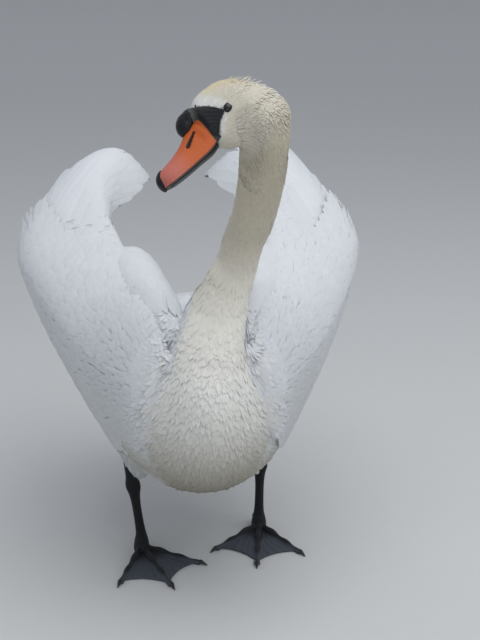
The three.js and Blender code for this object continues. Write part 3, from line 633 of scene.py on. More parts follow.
skin_finish = finish("bare skin under the coat", 0.75, size=900, depth=0.4, dark=0.15)
down_finish = finish("soft small feathers", 0.9, "barbs", 3.0, 0.05, 0.07, gloss=0.15, sheen=0.12,
                     stretch=(1.0, 0.5, 1), source="Vane")
vane_finish = finish("webbed feathers with barbs", 0.72, "barbs", 22, 0.12, 0.07, gloss=0.25, sheen=0.1,
                     stretch=(1.0, 0.35, 1), source="Vane")
face_finish = finish("bare black face", 0.4, size=700, depth=0.3, dark=0.3, gloss=0.22, coat=0.04)
horn_finish = finish("horn of the bill", 0.42, size=260, depth=0.12, dark=0.12, gloss=0.35, coat=0.06)
knob_finish = finish("glossy black knob", 0.36, size=420, depth=0.2, dark=0.35, gloss=0.28, coat=0.08)
leg_finish = finish("scaly leg skin", 0.55, "cells", 430, 0.35, 0.5, gloss=0.25)
web_finish = finish("leathery webs", 0.6, "cells", 620, 0.18, 0.28, gloss=0.35)
claw_finish = finish("claw horn", 0.3, size=300, depth=0.1, dark=0.4, gloss=0.5, base=(0.02, 0.02, 0.022))
eye_finish = finish("wet dark eye", 0.1, size=90, depth=0.0, dark=0.25, gloss=0.45, coat=0.3)

print("made", len(bpy.data.materials), "finishes")

# %% [markdown]
# ## Pieces
# Every finished piece rides on the one body and hides the nodes of the solid model that it stands
# for. All that is done in one place, so nothing is forgotten.

# %% Keeping a finished piece
ROOT, made = "root", []


def keep(piece, material, slot, *stands_for):
    """Gives a finished piece its material, its body and the nodes that it stands for, which it hides; the
    slot is not used.
    """
    piece.data.materials.append(material)
    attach(piece, ROOT)
    if stands_for:
        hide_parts(*stands_for)
    made.append(piece)
    triangles = sum(len(p.vertices) - 2 for p in piece.data.polygons)
    print(f"{piece.name}: {triangles} triangles")
    return piece


def shown(name, shape, hue, material, slot, *stands_for):
    """Makes and keeps a piece from (points in mm, faces), with one hue or a hue for each point."""
    points, faces = shape
    spots = {"Hue": np.broadcast_to(hue, points.shape)}
    return keep(make_mesh(name, in_model(points), faces, spots), material, slot, *stands_for)


flesh = ["trunk", "neck_lower", "neck_middle", "neck_upper", "head"] + [
    f"{part}_{name}" for part in ("thigh", "scapulars", "wing_cover") for name in LEGS]
skin = shown("skin", (skin_points, skin_faces), markings(skin_points), skin_finish, "plumage_cream", *flesh)

# %% [markdown]
# ## How a feather is made
# A feather could be a flat card with a picture of barbs, but a card vanishes edge on and an export
# drops the picture. Here each is a thin closed lens: it starts in a point at the quill, swells to its
# width, and ends in a rounded tip. One formula places every point of every feather at once, and the
# only thing that differs between down on the cheek and a covert on the wing is the numbers.

# %% A feather maker
def lens_ring(around):
    """Half width and height shares of the points round a lens: cos and sin of evenly spaced angles,
    begun half a step off the edge, so that each point belongs to the upper or to the lower side."""
    angle = (np.arange(around) + 0.5) / around * 2 * np.pi
    return np.cos(angle) / np.cos(np.pi / around), np.sin(angle)


def lens_facing(t, rise, out, across, camber=0.13, soft_rim=False):
    """Shading directions round a lens: up above and down below, each tipped sideways by camber x t.
    With a soft rim the lower side's edge faces almost straight sideways, so it isn't black from above."""
    rim = (np.abs(t) > 0.99) & (rise < 0) & soft_rim
    upright = np.where(rim, 0.1, np.sign(rise))
    sideways = np.where(rim, 0.6 * t, camber * t)
    return out * upright[..., None] + across * sideways[..., None]


def feathers(root, along, out, length, width, lift=0.15, curl=0.0, cup=0.15, thick=0.06,
             blade=((0.3, 0.8), (0.75, 0.85)), around=4, hue=None, spot=None):
    """At s of the length and t of the half width: root + along x s + across x t x outline(s)
    + out x (lift x s + curl x s^2 - cup x t^2 + thickness), where the outline is given by 'blade' as
    (s, share of the half width) and the lens has 'around' points from edge to edge and back. Its faces
    are shaded almost as the skin below is, which makes many small feathers read as one soft coat."""
    count = len(root)
    length, width, lift, curl = (np.broadcast_to(np.asarray(q, float), count)[:, None, None]
                                 for q in (length, width, lift, curl))
    across = unit(np.cross(out, along))
    t, rise = (ring[None] for ring in lens_ring(around))
    s = np.array([p[0] for p in blade])[:, None]
    outline = np.array([p[1] for p in blade])[:, None]
    half = width / 2
    sideways = t * outline * half
    upward = (lift * s + curl * s ** 2) * length - cup * (t * outline) ** 2 * half + rise * thick * width
    place = (root[:, None, None] + along[:, None, None] * (s * length)[..., None]
             + across[:, None, None] * sideways[..., None] + out[:, None, None] * upward[..., None])
    facing = lens_facing(t, rise, out[:, None, None], across[:, None, None], 0.14, soft_rim=True)
    facing = facing - along[:, None, None] * 0.15 * lift[..., None]
    facing = np.broadcast_to(facing, place.shape).reshape(count, -1, 3)
    facing = np.concatenate([out[:, None], facing, out[:, None]], 1)
    tip = root + along * length[:, 0] + out * ((lift + curl) * length)[:, 0]
    points = np.concatenate([root[:, None], place.reshape(count, -1, 3), tip[:, None]], 1)
    return bundle_of(points, s[:, 0], t[0], facing, hue, spot, outline[:, 0])


PATCH = 0.003    # width of each feather's patch on the unwrap, as a share of the whole


def bundle_of(points, s, t, facing, hue, spot, outline=None):
    """Faces and attributes for feathers that all have a root point, len(s) rings of len(t) points
    and a tip point: the ring points are joined by quads, root and tip by fans."""
    count, each = points.shape[:2]
    rows, around = len(s), len(t)
    index = 1 + np.arange(rows * around).reshape(rows, around)
    turn = np.roll(index, -1, axis=1)
    quads = np.stack([index[:-1], turn[:-1], turn[1:], index[1:]], -1).reshape(-1, 4)
    start, end = np.zeros(around, int), np.full(around, each - 1)
    fans = np.concatenate([np.stack([turn[0], index[0], start], 1),
                           np.stack([index[-1], turn[-1], end], 1)])
    if volume(points[0] - points[0, 0], [quads, fans]) < 0:
        quads, fans = quads[:, ::-1], fans[:, ::-1]
    jump = (np.arange(count) * each)[:, None, None]
    down_it = np.concatenate([[0], np.repeat(s, around), [1]])
    wide = np.ones(rows) if outline is None else outline
    over_it = np.concatenate([[0], (wide[:, None] * t).ravel(), [0]])
    vane = np.broadcast_to(np.stack([down_it, over_it], -1), (count, each, 2))
    patch = spot[:, None] + PATCH * np.stack([over_it / 2, down_it - 0.5], -1)[None]
    return {"points": points.reshape(-1, 3), "facing": facing.reshape(-1, 3),
            "quads": (quads[None] + jump).reshape(-1, 4), "fans": (fans[None] + jump).reshape(-1, 3),
            "hue": np.repeat(hue, each, 0), "vane": vane.reshape(-1, 2), "patch": patch.reshape(-1, 2)}


def coat(name, bundles, material, slot, *stands_for):
    """Joins bundles of feathers into one piece with its colours and its two UV maps."""
    start, quads, fans = 0, [], []
    for bundle in bundles:
        quads.append(bundle["quads"] + start)
        fans.append(bundle["fans"] + start)
        start += len(bundle["points"])
    whole = {key: np.concatenate([bundle[key] for bundle in bundles])
             for key in ("points", "hue", "vane", "patch", "facing")}
    piece = make_mesh(name, in_model(whole["points"]), [np.concatenate(quads), np.concatenate(fans)],
                      {"Hue": whole["hue"]}, {"Vane": whole["vane"], "OFBake": whole["patch"]},
                      whole["facing"])
    return keep(piece, material, slot, *stands_for)


print("a lens of four points reaches", np.round(lens_ring(4)[0], 2).tolist(), "of its half width")

# %% [markdown]
# ## Where feathers grow
# Feathers stand in staggered rows, like tiles. `rows_on` lays such rows on any surface function, as far
# apart as asked, with a little disorder, and thins them where rows crowd together. `grow_from` then
# sets every root on the skin with a Shrinkwrap and says how far it had to move: a root that moved far
# was inside another part of the bird, and is dropped. A second Shrinkwrap, two millimetres above the
# skin, gives the skin's own direction outwards, so neighbours from different patches lie alike.

# %% Rows of roots
def rows_on(shape, u_range, v_range, step, gap, seed, loose=0.3):
    """Rows every 'step' mm along u, measured on the longest line of the patch, with roots every 'gap'
    mm along v, staggered by half a gap, moved by a share 'loose' of a cell at random."""
    chance = np.random.default_rng(seed)
    u, v = np.linspace(*u_range, 300), np.linspace(*v_range, 73)
    grid = shape(u[:, None], v[None])
    travel = np.linalg.norm(np.diff(grid, axis=0), axis=-1).max(1)
    girth = np.linalg.norm(np.diff(grid, axis=1), axis=-1).sum(1)
    path = np.concatenate([[0], np.cumsum(travel)])
    rows = max(int(path[-1] / step), 2)
    row_u = np.interp((np.arange(rows) + 0.5) / rows * path[-1], path, u)
    held = np.maximum(np.interp(row_u, u, girth) / gap, 2).astype(int)
    row = np.repeat(np.arange(rows), held)
    seat = np.arange(len(row)) - np.repeat(np.cumsum(held) - held, held)
    share = (seat + 0.5 * (row % 2) + 0.25 + chance.uniform(-loose, loose, len(row))) / held[row]
    v_all = v_range[0] + (v_range[1] - v_range[0]) * np.clip(share, 0, 1)
    rate = np.gradient(row_u) if rows > 2 else np.full(rows, u_range[1] - u_range[0])
    u_all = row_u[row] + rate[row] * chance.uniform(-loose, loose, len(row))
    u_all = np.clip(u_all, min(u_range), max(u_range))
    local = np.linalg.norm(shape(u_all + 1e-3, v_all) - shape(u_all, v_all), axis=-1) / 1e-3
    stay = chance.random(len(row)) < local * np.abs(rate[row]) / step * 1.05
    return u_all[stay], v_all[stay], chance


def wrapped(points, above):
    """The nearest places that lie 'above' mm over the skin."""
    seeds = make_mesh("seeds", in_model(points), [np.zeros((0, 3), int)])
    wrap = seeds.modifiers.new("wrap", "SHRINKWRAP")
    wrap.target, wrap.wrap_method, wrap.wrap_mode = skin, "NEAREST_SURFACEPOINT", "ABOVE_SURFACE"
    wrap.offset = above / 1000
    settled = from_model(seeds.evaluated_get(bpy.context.evaluated_depsgraph_get()).to_mesh())
    bpy.data.objects.remove(seeds)
    return settled


def grow_from(points):
    """Nearest places on the skin, how far away they were, and the skin's direction outwards there."""
    settled = wrapped(points, 0.0)
    return settled, np.linalg.norm(settled - points, axis=-1), unit(wrapped(points, 2.0) - settled)


def spot_of(u, v, u_range, v_range):
    """Place of a root on the patch's unwrap: both parameters scaled into the unit square."""
    share = [(np.asarray(q) - r[0]) / (r[1] - r[0]) for q, r in ((u, u_range), (v, v_range))]
    return 0.01 + 0.98 * np.clip(np.stack(share, -1), 0, 1)


def tinted(points, chance, spread=0.035, wavy=4.0):
    """The markings at the roots, each feather lighter or darker by a few parts in a hundred."""
    hue = markings(points, chance.normal(0, wavy, len(points)))
    return hue * (1 + chance.normal(0, spread, (len(points), 1)))


print("made the feather tools")

# %% [markdown]
# ## The coat of body and head
# Small feathers point away from the bill all the way: back over the head, down the neck, and over breast
# and belly to the tail. They are shortest round the eye and longest on the belly and over the back. The
# coat is put on in patches, each with its own spacing; patches overlap a little, so no parting shows.
# Hair particles would be quicker to set up, but they are not meshes and can't be handed on.

# %% A grower for any patch
def grow(shape, u_range, v_range, step, gap, length, width, seed, lie=-1, far=7.0, lift=0.2,
         curl=-0.08, messy=0.12, spread=0.03, where=None, tint=None, **style):
    """Rows of roots on 'shape', settled on the skin; each feather lies along lie x du, or where 'lie'
    is a function, along what it gives at the root, plus a little disorder. The shape's third value
    moves inwards, which tells which way is out."""
    u, v, chance = rows_on(shape, u_range, v_range, step, gap, seed)
    point, du, dv, out = lay_of(shape, u, v)
    inward = shape(u, v, 0.05) - point
    out = -out * np.sign(np.einsum("ij,ij->i", out, inward))[:, None]
    root, moved, skin_out = grow_from(point)
    out = unit(out + 1.6 * skin_out)
    stay = moved < far
    if where is not None:
        stay &= where(u, v, point)
    u, v, point, du, dv, out, root = (q[stay] for q in (u, v, point, du, dv, out, root))
    along = lie(point) if callable(lie) else lie * du
    along = unit(along - out * np.einsum("ij,ij->i", along, out)[:, None])
    along = unit(along + np.cross(out, along) * chance.normal(0, messy, (len(u), 1)))
    along = unit(along - out * np.einsum("ij,ij->i", along, out)[:, None])
    long, wide, up, bend = (q(u, v) if callable(q) else np.full(len(u), float(q))
                            for q in (length, width, lift, curl))
    long = long * chance.uniform(0.85, 1.15, len(u))
    hue = tinted(root, chance, spread) * (1 if tint is None else tint(u, v, point))
    return feathers(root, along, out, long, wide, np.maximum(up + chance.normal(0, 0.03, len(u)), 0.02),
                    bend, hue=hue, spot=spot_of(u, v, u_range, v_range), **style)


TURN = (0, 2 * np.pi)
down = ((0.25, 0.8), (0.7, 0.95))    # outline of a small feather: share of length, share of half width


def furrow_shade(s, turn, point):
    """Brownish streaks of painted shade down the neck's left and rear side, where the feathers part in
    furrows.
    """
    # painted shade: the streaks darken the cream, blue most of all
    wave = np.sin(9 * turn + 1.2 * np.sin(s * 1.7)) + 0.6 * np.sin(17 * turn + 0.9 * s)
    strength = smooth_step(wave, 0.3, 1.3) * smooth_step(np.cos(turn - 0.9), 0.2, 0.8)
    strength = strength * smooth_step(s, 13, 16)
    return 1 - strength[:, None] * np.array([0.16, 0.21, 0.30])


# the neck's coat carries painted shade in its furrows
neck_coat = grow(body, (12.2, 19.9), TURN, step=3.8, gap=2.5, length=13, width=3.8, seed=11, blade=down,
                 lift=0.10, curl=-0.03, messy=0.07, tint=furrow_shade)
coat("neck_coat", [neck_coat], down_finish, "plumage_cream")


# %% Breast, belly and back
def breast_length(s, turn):
    """Feathers get shorter towards the neck."""
    return track(s, [(5, 25), (9, 21), (12.6, 14)])


breast_coat = grow(body, (6.0, 12.5), TURN, step=5.6, gap=4.0, length=breast_length, width=7.0, seed=12,
                   blade=down, lift=0.045, curl=-0.015, cup=0.06, far=8.5, messy=0.07, thick=0.02)
rear_coat = grow(body, (0.25, 6.2), TURN, step=9.5, gap=7.0, length=30, width=11, seed=13, blade=down,
                 lift=0.07, cup=0.08, far=8.5)
coat("body_coat", [breast_coat, rear_coat], down_finish, "plumage_cream")
thigh_coat = [grow(lambda s, t, d=0.0, leg=leg: thigh(leg, s, t, d), (0.1, 5.6), TURN, step=5.5, gap=4.2,
                   length=17, width=5, seed=14, blade=down, lift=0.2, far=7.5) for leg in LEGS.values()]
coat("thigh_coat", thigh_coat, down_finish, "plumage_cream")


# %% Head
bill_root = in_head(40.0, 2.0, 0.0)
down_neck = unit(in_head(-4.0, -61.0, -34.0) - in_head(-22.0, -20.0, 0.0))


def head_flow(point):
    """Straight away from the bill's root near it, turning down the neck further back."""
    away = point - bill_root
    far_back = smooth_step(np.linalg.norm(away, axis=1), 42, 92)[:, None]
    return unit(away) * (1 - far_back) + down_neck * far_back * 1.1


EYE_OPENING = 6.0    # mm from the eye's middle to the first feathers


def feathered(s, turn, point):
    """Off the mask and off the eye's opening."""
    forward, up, _ = head_steps(point)
    return (in_mask(forward, up) < -0.5) & (np.hypot(forward, up * 1.15) > EYE_OPENING)


def head_length(s, turn):
    """Shortest round the bill, longest at the back of the head."""
    return track(s, [(0, 4), (2.5, 6), (4, 9), (7, 12)])


def wisp_lift(s, turn):
    """The tuft on the crown stands up most in its middle."""
    return track(s, [(4.2, 0.35), (4.8, 0.5), (6.2, 0.25)])


head_coat = grow(skull, (0.2, 5.9), TURN, step=2.3, gap=1.8, length=head_length, width=2.6, seed=15,
                 lie=head_flow, blade=down, lift=0.05, curl=-0.02, messy=0.06, far=4.0, thick=0.04,
                 where=feathered)
nape_coat = grow(body, (18.6, 23.4), TURN, step=3.0, gap=2.2, length=12, width=3.4, seed=16, lie=head_flow,
                 blade=down, lift=0.035, curl=-0.01, cup=0.08, far=4.0, messy=0.06, thick=0.03,
                 where=feathered)
wisps = grow(skull, (4.2, 6.2), (0.8, 2.3), step=8.0, gap=6.0, length=11, width=1.5, seed=17,
             lie=head_flow, blade=down, far=5.0, messy=0.3, lift=wisp_lift, curl=0.08)
coat("head_coat", [head_coat, nape_coat, wisps], down_finish, "plumage_cream")

# %% [markdown]
# ## Feathers laid on the wing
# A long feather that started straight from its root would stand off the curled wing like a splinter.
# So every feather of wing and shoulder is laid on the shell itself: its middle line is a straight line
# in the shell's own (y, v), its width is stepped off along the shell, and it bends as the shell bends.
# Each is tipped about its quill so that it lies on one neighbour and under the other.

# %% Laying feathers on a surface
WING_UNWRAP = ((0, 460), (-0.1, 1.1))    # y and v that fill the unwrap's square


def surface_step(shape, u, v, step):
    """Turns a step in space into a step in (u, v): solves (J J') x = J step for the 2 x 2 metric,
    taken over a fiftieth of v, because v runs slower right on the crest."""
    ju = (shape(u + 0.01, v) - shape(u - 0.01, v)) / 0.02
    jv = (shape(u, v + 0.02) - shape(u, v - 0.02)) / 0.04
    a, b, d = (np.einsum("...k,...k->...", p, q) for p, q in ((ju, ju), (ju, jv), (jv, jv)))
    e, f = (np.einsum("...k,...k->...", p, step) for p in (ju, jv))
    det = np.maximum(a * d - b * b, 1e-6)
    return (e * d - b * f) / det, (a * f - b * e) / det


def laid(shape, root, tip, width, seed, profile, tilt=0.1, cup=0.1, thick=1.3, rows=16, around=10,
         unwrap=WING_UNWRAP):
    """Feather k runs from root k to tip k, both (u, v). A point at t of the half width is moved
    sideways along the shell, then out of it by profile(s) + tilt x t x half - cup x t^2 x half
    + thickness."""
    chance = np.random.default_rng(seed)
    s = np.sin(np.linspace(0.02, 0.995, rows) * np.pi / 2)[None]
    root, tip = np.asarray(root, float), np.asarray(tip, float)
    count = len(root)
    u = root[:, :1] + (tip[:, :1] - root[:, :1]) * s
    v = root[:, 1:] + (tip[:, 1:] - root[:, 1:]) * s
    middle = shape(u, v)
    ahead = unit(np.gradient(middle, axis=1))
    out = lay_of(shape, u, v)[3]
    inward = shape(u, v, 0.05) - middle
    out = -out * np.sign(np.einsum("...k,...k->...", out, inward))[..., None]
    across = unit(np.cross(out, ahead))
    outline = np.minimum((s / 0.3) ** 0.7, 1) * (1 - s ** 7) ** 0.5
    wave = 1 + 0.03 * np.sin(s * 23 + chance.uniform(0, 6, (count, 1))) * s
    half = np.broadcast_to(np.asarray(width, float), count)[:, None] / 2 * outline * wave
    t, rise = lens_ring(around)
    step = across[:, :, None] * (t * half[..., None])[..., None]
    du, dv = surface_step(shape, u[..., None], v[..., None], step)
    place = shape(u[..., None] + du, v[..., None] + dv)
    height = np.broadcast_to(profile(s), half.shape)
    offset = (height[..., None] + (tilt * t - cup * t ** 2) * half[..., None]
              + rise * thick * np.minimum(half / 6, 1)[..., None])
    place = place + out[:, :, None] * offset[..., None]
    facing = lens_facing(t, rise, out[:, :, None], across[:, :, None]).reshape(count, -1, 3)
    facing = np.concatenate([out[:, 0, None], facing, out[:, -1, None]], 1)
    first = middle[:, :1] - ahead[:, :1] * 2 + out[:, :1] * height[:, :1, None]
    last = middle[:, -1:] + ahead[:, -1:] + out[:, -1:] * height[:, -1:, None]
    points = np.concatenate([first, place.reshape(count, -1, 3), last], 1)
    # colour at the feather's middle: white with painted shade towards the hem
    hue = white_shaded_low(middle[:, rows // 2]) * (1 + chance.normal(0, 0.012, (count, 1)))
    spot = spot_of(root[:, 0], root[:, 1], *unwrap)
    return bundle_of(points, s[0], t, facing, hue, spot)


ten_up = surface_step(lambda y, v: wing(1, y, v), 100.0, 0.2, np.array([0.0, 0.0, 10.0]))
print("10 mm upwards on the left wing's side is a step in y and v of", np.round(ten_up, 3))

# %% [markdown]
# ## Coverts: the small feathers of the wing
# From the wing's front edge backwards the coverts grow in bands, each feather hiding the root of the
# next one. High on the raised wing they turn upwards, towards the rim, and low down they hang towards
# the hem. They all end on one line, the ledge. Where the wing bulges most, the last tips stand off it
# raggedly; above that the line bends forwards and leaves a bay, out of which the sail rises. The mounds
# of long, soft scapulars fill the corner between wing and neck.

# %% Coverts and scapulars
def shell(side, face="outer"):
    """The wing's outer or inner face as a patch whose third value moves into the wing."""
    if face == "outer":
        return lambda y, v, inside=0.0: wing(side, y, v, inside)
    return lambda y, v, inside=0.0: wing(side, y, v, 1 - inside)


def upward(y, v):
    """How strongly a covert turns towards the rim: more with height and towards the back."""
    return (smooth_step(v, 0.3, 0.75) * (0.5 + 0.9 * smooth_step(y, -120, 90))
            - 0.35 * (1 - smooth_step(v, 0, 0.3)))


def thatch(shape, u_range, v_range, step, gap, length, width, seed, turn, low=-6.5, high=-0.5,
           end=None, stand=0.0, begin=-np.inf, **style):
    """Rows of roots, each with a tip 'length' further on along du + turn x dv; the feather rises from
    'low' at its root to 'high' at its tip, measured from the coat's face. Feathers that would reach
    over the line 'end', or less far than 'begin' from it, are left out; close to it, where the wing
    bends inwards over the bulge, the tips stand off by 'stand'."""
    u, v, chance = rows_on(shape, u_range, v_range, step, gap, seed)
    _, du, dv, _ = lay_of(shape, u, v)
    pull = np.broadcast_to(turn(u, v) if callable(turn) else turn, u.shape)
    pull = pull + chance.normal(0, 0.05, len(u))
    long = length * chance.uniform(0.85, 1.15, len(u))
    step_u, step_v = surface_step(shape, u, v, unit(du + pull[:, None] * dv) * long[:, None])
    root, tip = np.stack([u, v], 1), np.stack([u + step_u, v + step_v], 1)
    rise = chance.normal(0, 0.3, (len(u), 1))
    if end is not None:
        over = tip[:, 0] - end(tip[:, 1]) + chance.uniform(-5, 5, len(u))
        on_bulge = (0.15 + 0.85 * smooth_step(tip[:, 1], 0.49, 0.55)
                    - smooth_step(tip[:, 1], 0.62, 0.67))
        lifted = smooth_step(over, -40, 0) ** 2 * np.maximum(on_bulge, 0) * stand
        rise = rise + (lifted * chance.uniform(0.65, 1, len(u)))[:, None]
        root, tip, rise = (q[(over < 0) & (over > begin)] for q in (root, tip, rise))
    return laid(shape, root, tip, width, seed + 1, lambda s: low + (high - low) * s ** 0.6 + rise * s ** 1.5,
                rows=5, around=6, thick=0.4, **style)


def before_ledge(v):
    """The coverts of the inner face end a little ahead of the ledge."""
    return ledge(v) - 12


bands = [   # start and end in y, then step, gap, length and width
    (-228, -140, 8, 7, 24, 11), (-150, -30, 12, 10, 40, 17), (-45, 88, 15, 13, 56, 25)]
fringe_stand = {"right": 12.0, "left": 7.0}
for leg_name, leg in LEGS.items():
    side, bundles = leg["side"], []
    for i, (start, stop, step, gap, length, width) in enumerate(bands):
        bundles.append(thatch(shell(side), (start, stop), (0.02, 0.99), step, gap, length, width,
                              seed=21 + i, turn=upward, end=ledge, stand=6.0, cup=0.05, tilt=0.018))
        bundles.append(thatch(shell(side, "inner"), (start, min(stop, 50)), (0.5, 0.985), step, gap * 1.2,
                              length, width * 1.25, seed=31 + i, turn=0.4, low=-4, high=0.5,
                              end=before_ledge, cup=0.03, tilt=0.018))
    bundles.append(thatch(shell(side), (-40, 92), (0.36, 0.7), step=9, gap=7.0, length=36, width=13,
                          seed=29, turn=upward, end=ledge, begin=-22, stand=fringe_stand[leg_name],
                          cup=0.1, tilt=0.03))
    coat(f"wing_coat_{leg_name}", bundles, vane_finish, "plumage_white")
    scapulars = thatch(lambda s, t, d=0.0: mound(side, s, t, d * 20), (0.9, 8.7), (-0.4, 3.55), step=11,
                       gap=10, length=46, width=19, seed=41, turn=0.0, cup=0.06, tilt=0.018,
                       unwrap=((0, 9), (-1, 4)))
    coat(f"scapular_coat_{leg_name}", [scapulars], vane_finish, "plumage_white")

# %% [markdown]
# ## Where neck, breast and wings meet
# Round the foot of the neck and the wings' front ends three shapes run into each other, and rows that
# follow any one of them leave gaps. But the skin's own points lie evenly all over it, so here they serve
# as roots: a random share of them is taken, and each feather lies along the skin in the direction that
# a simple field gives: down on neck and breast, and further out back over the wing's front edge.

# %% Feathers from the skin's own points
def sprinkled(places, share, length, width, seed, flow, lift=0.04, messy=0.1, **style):
    """A feather on about this share of the places, along the flow, less its part that leaves the skin."""
    chance = np.random.default_rng(seed)
    root, _, out = grow_from(places[chance.random(len(places)) < share])
    along = flow(root) + chance.normal(0, messy, root.shape)
    along = unit(along - out * np.einsum("ij,ij->i", along, out)[:, None])
    x, y, z = root.T
    spot = spot_of(y, np.arctan2(x, z - 400), (-400, 460), (-np.pi, np.pi))
    return feathers(root, along, out, length * chance.uniform(0.85, 1.15, len(root)), width,
                    lift, -0.02, hue=tinted(root, chance), spot=spot, **style)


def down_and_back(point):
    """Down in the middle, and from 40 to 80 mm beside it more and more back and outwards."""
    beside = smooth_step(np.abs(point[:, :1]), 40, 80)
    outer = np.array([0.2, 0.8, -0.45]) * np.where(point[:, :1] < 0, [-1, 1, 1], [1, 1, 1])
    return unit((1 - beside) * np.array([0.0, 0.1, -1.0]) + beside * outer)


x, y, z = skin_points.T
at_the_front = (y < -165) & (z > 235) & (z < 562) & ((np.abs(x) > 36) | (z > 440))
side_coat = sprinkled(skin_points[at_the_front], share=1.0, length=12, width=5.4, seed=43,
                      flow=down_and_back, lift=0.02, cup=0.05, blade=down, thick=0.02)
coat("side_coat", [side_coat], down_finish, "plumage_white")

# %% [markdown]
# ## The sails: one fan of long feathers
# The second half of each wing is nothing but long feathers. They spring from under the ledge and open
# like a fan, the innermost up over the back, the outermost back and down to the hem. The fan is a
# surface of its own: a share from 0 to 1 says which feather, s how far along it. A feather is simply a
# strip of that surface, wider than its neighbour's distance, so the fan can have no gaps.

# %% Fans
free_edge = np.array([   # y and v, from the rim's front to the hem's
    [96, 0.925], [138, 0.966], [180, 0.975], [225, 0.97], [285, 0.98], [350, 0.98], [405, 0.97],
    [440, 0.86], [450, 0.62], [448, 0.36], [425, 0.10], [345, 0.02], [250, 0.01], [165, 0.0]])
NEIGHBOURS = [(1, -0.11), (2, -0.055), (3, 0), (2, 0.055), (1, 0.11)]    # weight and step in v


def edge_path(share):
    """Goes once round the free edge: along the rim to the tail end, down it, and along the hem."""
    return spline(free_edge, np.asarray(share) * (len(free_edge) - 1))


def root_line(share):
    """The line that the fan springs from, hidden ahead of the ledge, from the rim down to the hem."""
    y = track(share, [(0, 22), (0.1, 0), (0.2, -34), (0.3, -34), (0.4, 6), (0.52, 46), (0.8, 46), (1, 28)])
    return np.stack([y, 0.93 - 0.90 * np.asarray(share) ** 0.85], -1)


def soft_wing(side, y, v):
    """The shell with a blunter crest: mean of five neighbours along v, the middle one counting most."""
    return sum(k * wing(side, y, v + d) for k, d in NEIGHBOURS) / sum(k for k, _ in NEIGHBOURS)


def soft_shell(side):
    """The blunter shell as a patch whose third value moves it in towards the back."""
    return lambda y, v, inside=0.0: soft_wing(side, y, v) - np.array([side * 30.0, 0, 12]) * inside


def fanned(side, shares, half_share, reach, height, seed, tilt=0.035, cup=0.1, thick=1.3, rows=18,
           around=10, blunt=9):
    """Feather k is the strip of the fan within half_share x outline(s) of share k, from the root line
    over 'reach' of the way to the edge, moved out of the shell by height(a, s x reach) + tilt x t x half
    - cup x t^2 x half + thickness. The outline is sqrt(1 - s^blunt), more pointed at the fan's front."""
    chance = np.random.default_rng(seed)
    s = np.sin(np.linspace(0.02, 0.995, rows) * np.pi / 2)[None, :, None]
    t, rise = lens_ring(around)
    ragged = 0.02 if reach == 1 else 0.155    # the feathers that make the edge differ least in length
    reach = (reach * (1 - ragged * chance.random(len(shares))))[:, None, None]
    bluntness = (4 + (blunt - 4) * smooth_step(shares, 0.05, 0.2))[:, None, None]
    outline = (1 - s ** bluntness) ** 0.5
    outline = outline * (1 + 0.04 * np.sin(s * 21 + chance.uniform(0, 6, (len(shares), 1, 1))) * s)
    a = np.clip(shares[:, None, None] + half_share * outline * t, 0, 1)
    root = root_line(a)
    seat = root + (edge_path(a) - root) * (s * reach)[..., None]
    place = soft_wing(side, seat[..., 0], seat[..., 1])
    ahead = unit(np.gradient(place, axis=1))
    out = lay_of(lambda y, v: soft_wing(side, y, v), seat[..., 0], seat[..., 1], 4e-3)[3] * side
    half = np.linalg.norm(place[:, :, :1] - place[:, :, around // 2:around // 2 + 1], axis=-1) / 2
    offset = (height(a, s * reach) + (tilt * t - cup * t ** 2) * half
              + rise * thick * np.minimum(half / 20, 1))
    points = place + out * offset[..., None]
    across = unit(np.cross(out, ahead))
    facing = lens_facing(t, rise, out, across)
    first, last = points[:, 0].mean(1, keepdims=True), points[:, -1].mean(1, keepdims=True)
    points = np.concatenate([first, points.reshape(len(shares), -1, 3), last], 1)
    facing = np.concatenate([out[:, 0, :1], facing.reshape(len(shares), -1, 3), out[:, -1, :1]], 1)
    # colour at the feather's middle: white with painted shade towards the hem
    hue = white_shaded_low(place[:, rows // 2, 0]) * (1 + chance.normal(0, 0.012, (len(shares), 1)))
    root = root_line(shares)
    spot = spot_of(root[:, 0] + shares * 300, root[:, 1], *WING_UNWRAP)
    return bundle_of(points, s[0, :, 0], t, facing, hue, spot)


def relief(above, sunk, flare):
    """Heights over the fan: sunk at the root in the bay of the ledge, higher further out, where the
    blunter crest has to be made up for, and flaring out of the shell at the tips near the rim. Right at
    the rim's front end all layers close up."""
    def height(share, s):
        bay = smooth_step(share, 0.04, 0.16) * (1 - smooth_step(share, 0.46, 0.62))
        open_up = flare * (0.4 + 0.6 * smooth_step(share, 0.0, 0.14)) * (1 - smooth_step(share, 0.3, 0.46))
        layer = -3 + (above + 3) * (0.2 + 0.8 * smooth_step(share, 0.0, 0.07))
        layer = layer + 7 * smooth_step(s, 0.12, 0.45) * (1 - smooth_step(share, 0.42, 0.58))
        return layer - (4 + sunk * bay) * (1 - smooth_step(s, 0.1, 0.5)) + open_up * s ** 2.2
    return height


# Roots and tips in y and v, widths in mm, and how many mm the tips stand off the left and right shell.
plume_roots = [[40, 0.66], [46, 0.63], [56, 0.60], [64, 0.58], [72, 0.56], [78, 0.545]]
plume_tips = [[222, 0.715], [204, 0.68], [182, 0.65], [160, 0.62], [138, 0.60], [120, 0.58]]
plume_widths = [62, 56, 50, 42, 34, 30]
plume_stand = {1: np.array([34.0, 26, 16, 12, 9, 8]), -1: np.array([5.0, 8, 10, 6, 6, 5])}


def plumes(side):
    """The six loose feathers under the ledge's bulge, sunk at their roots and standing off at their tips."""
    stand = plume_stand[side][:, None]
    return laid(soft_shell(side), plume_roots, plume_tips, plume_widths, 70,
                lambda s: -2 - 13 * (1 - smooth_step(s, 0, 0.4)) + stand * s ** 2.2, tilt=0.02, cup=0.05)


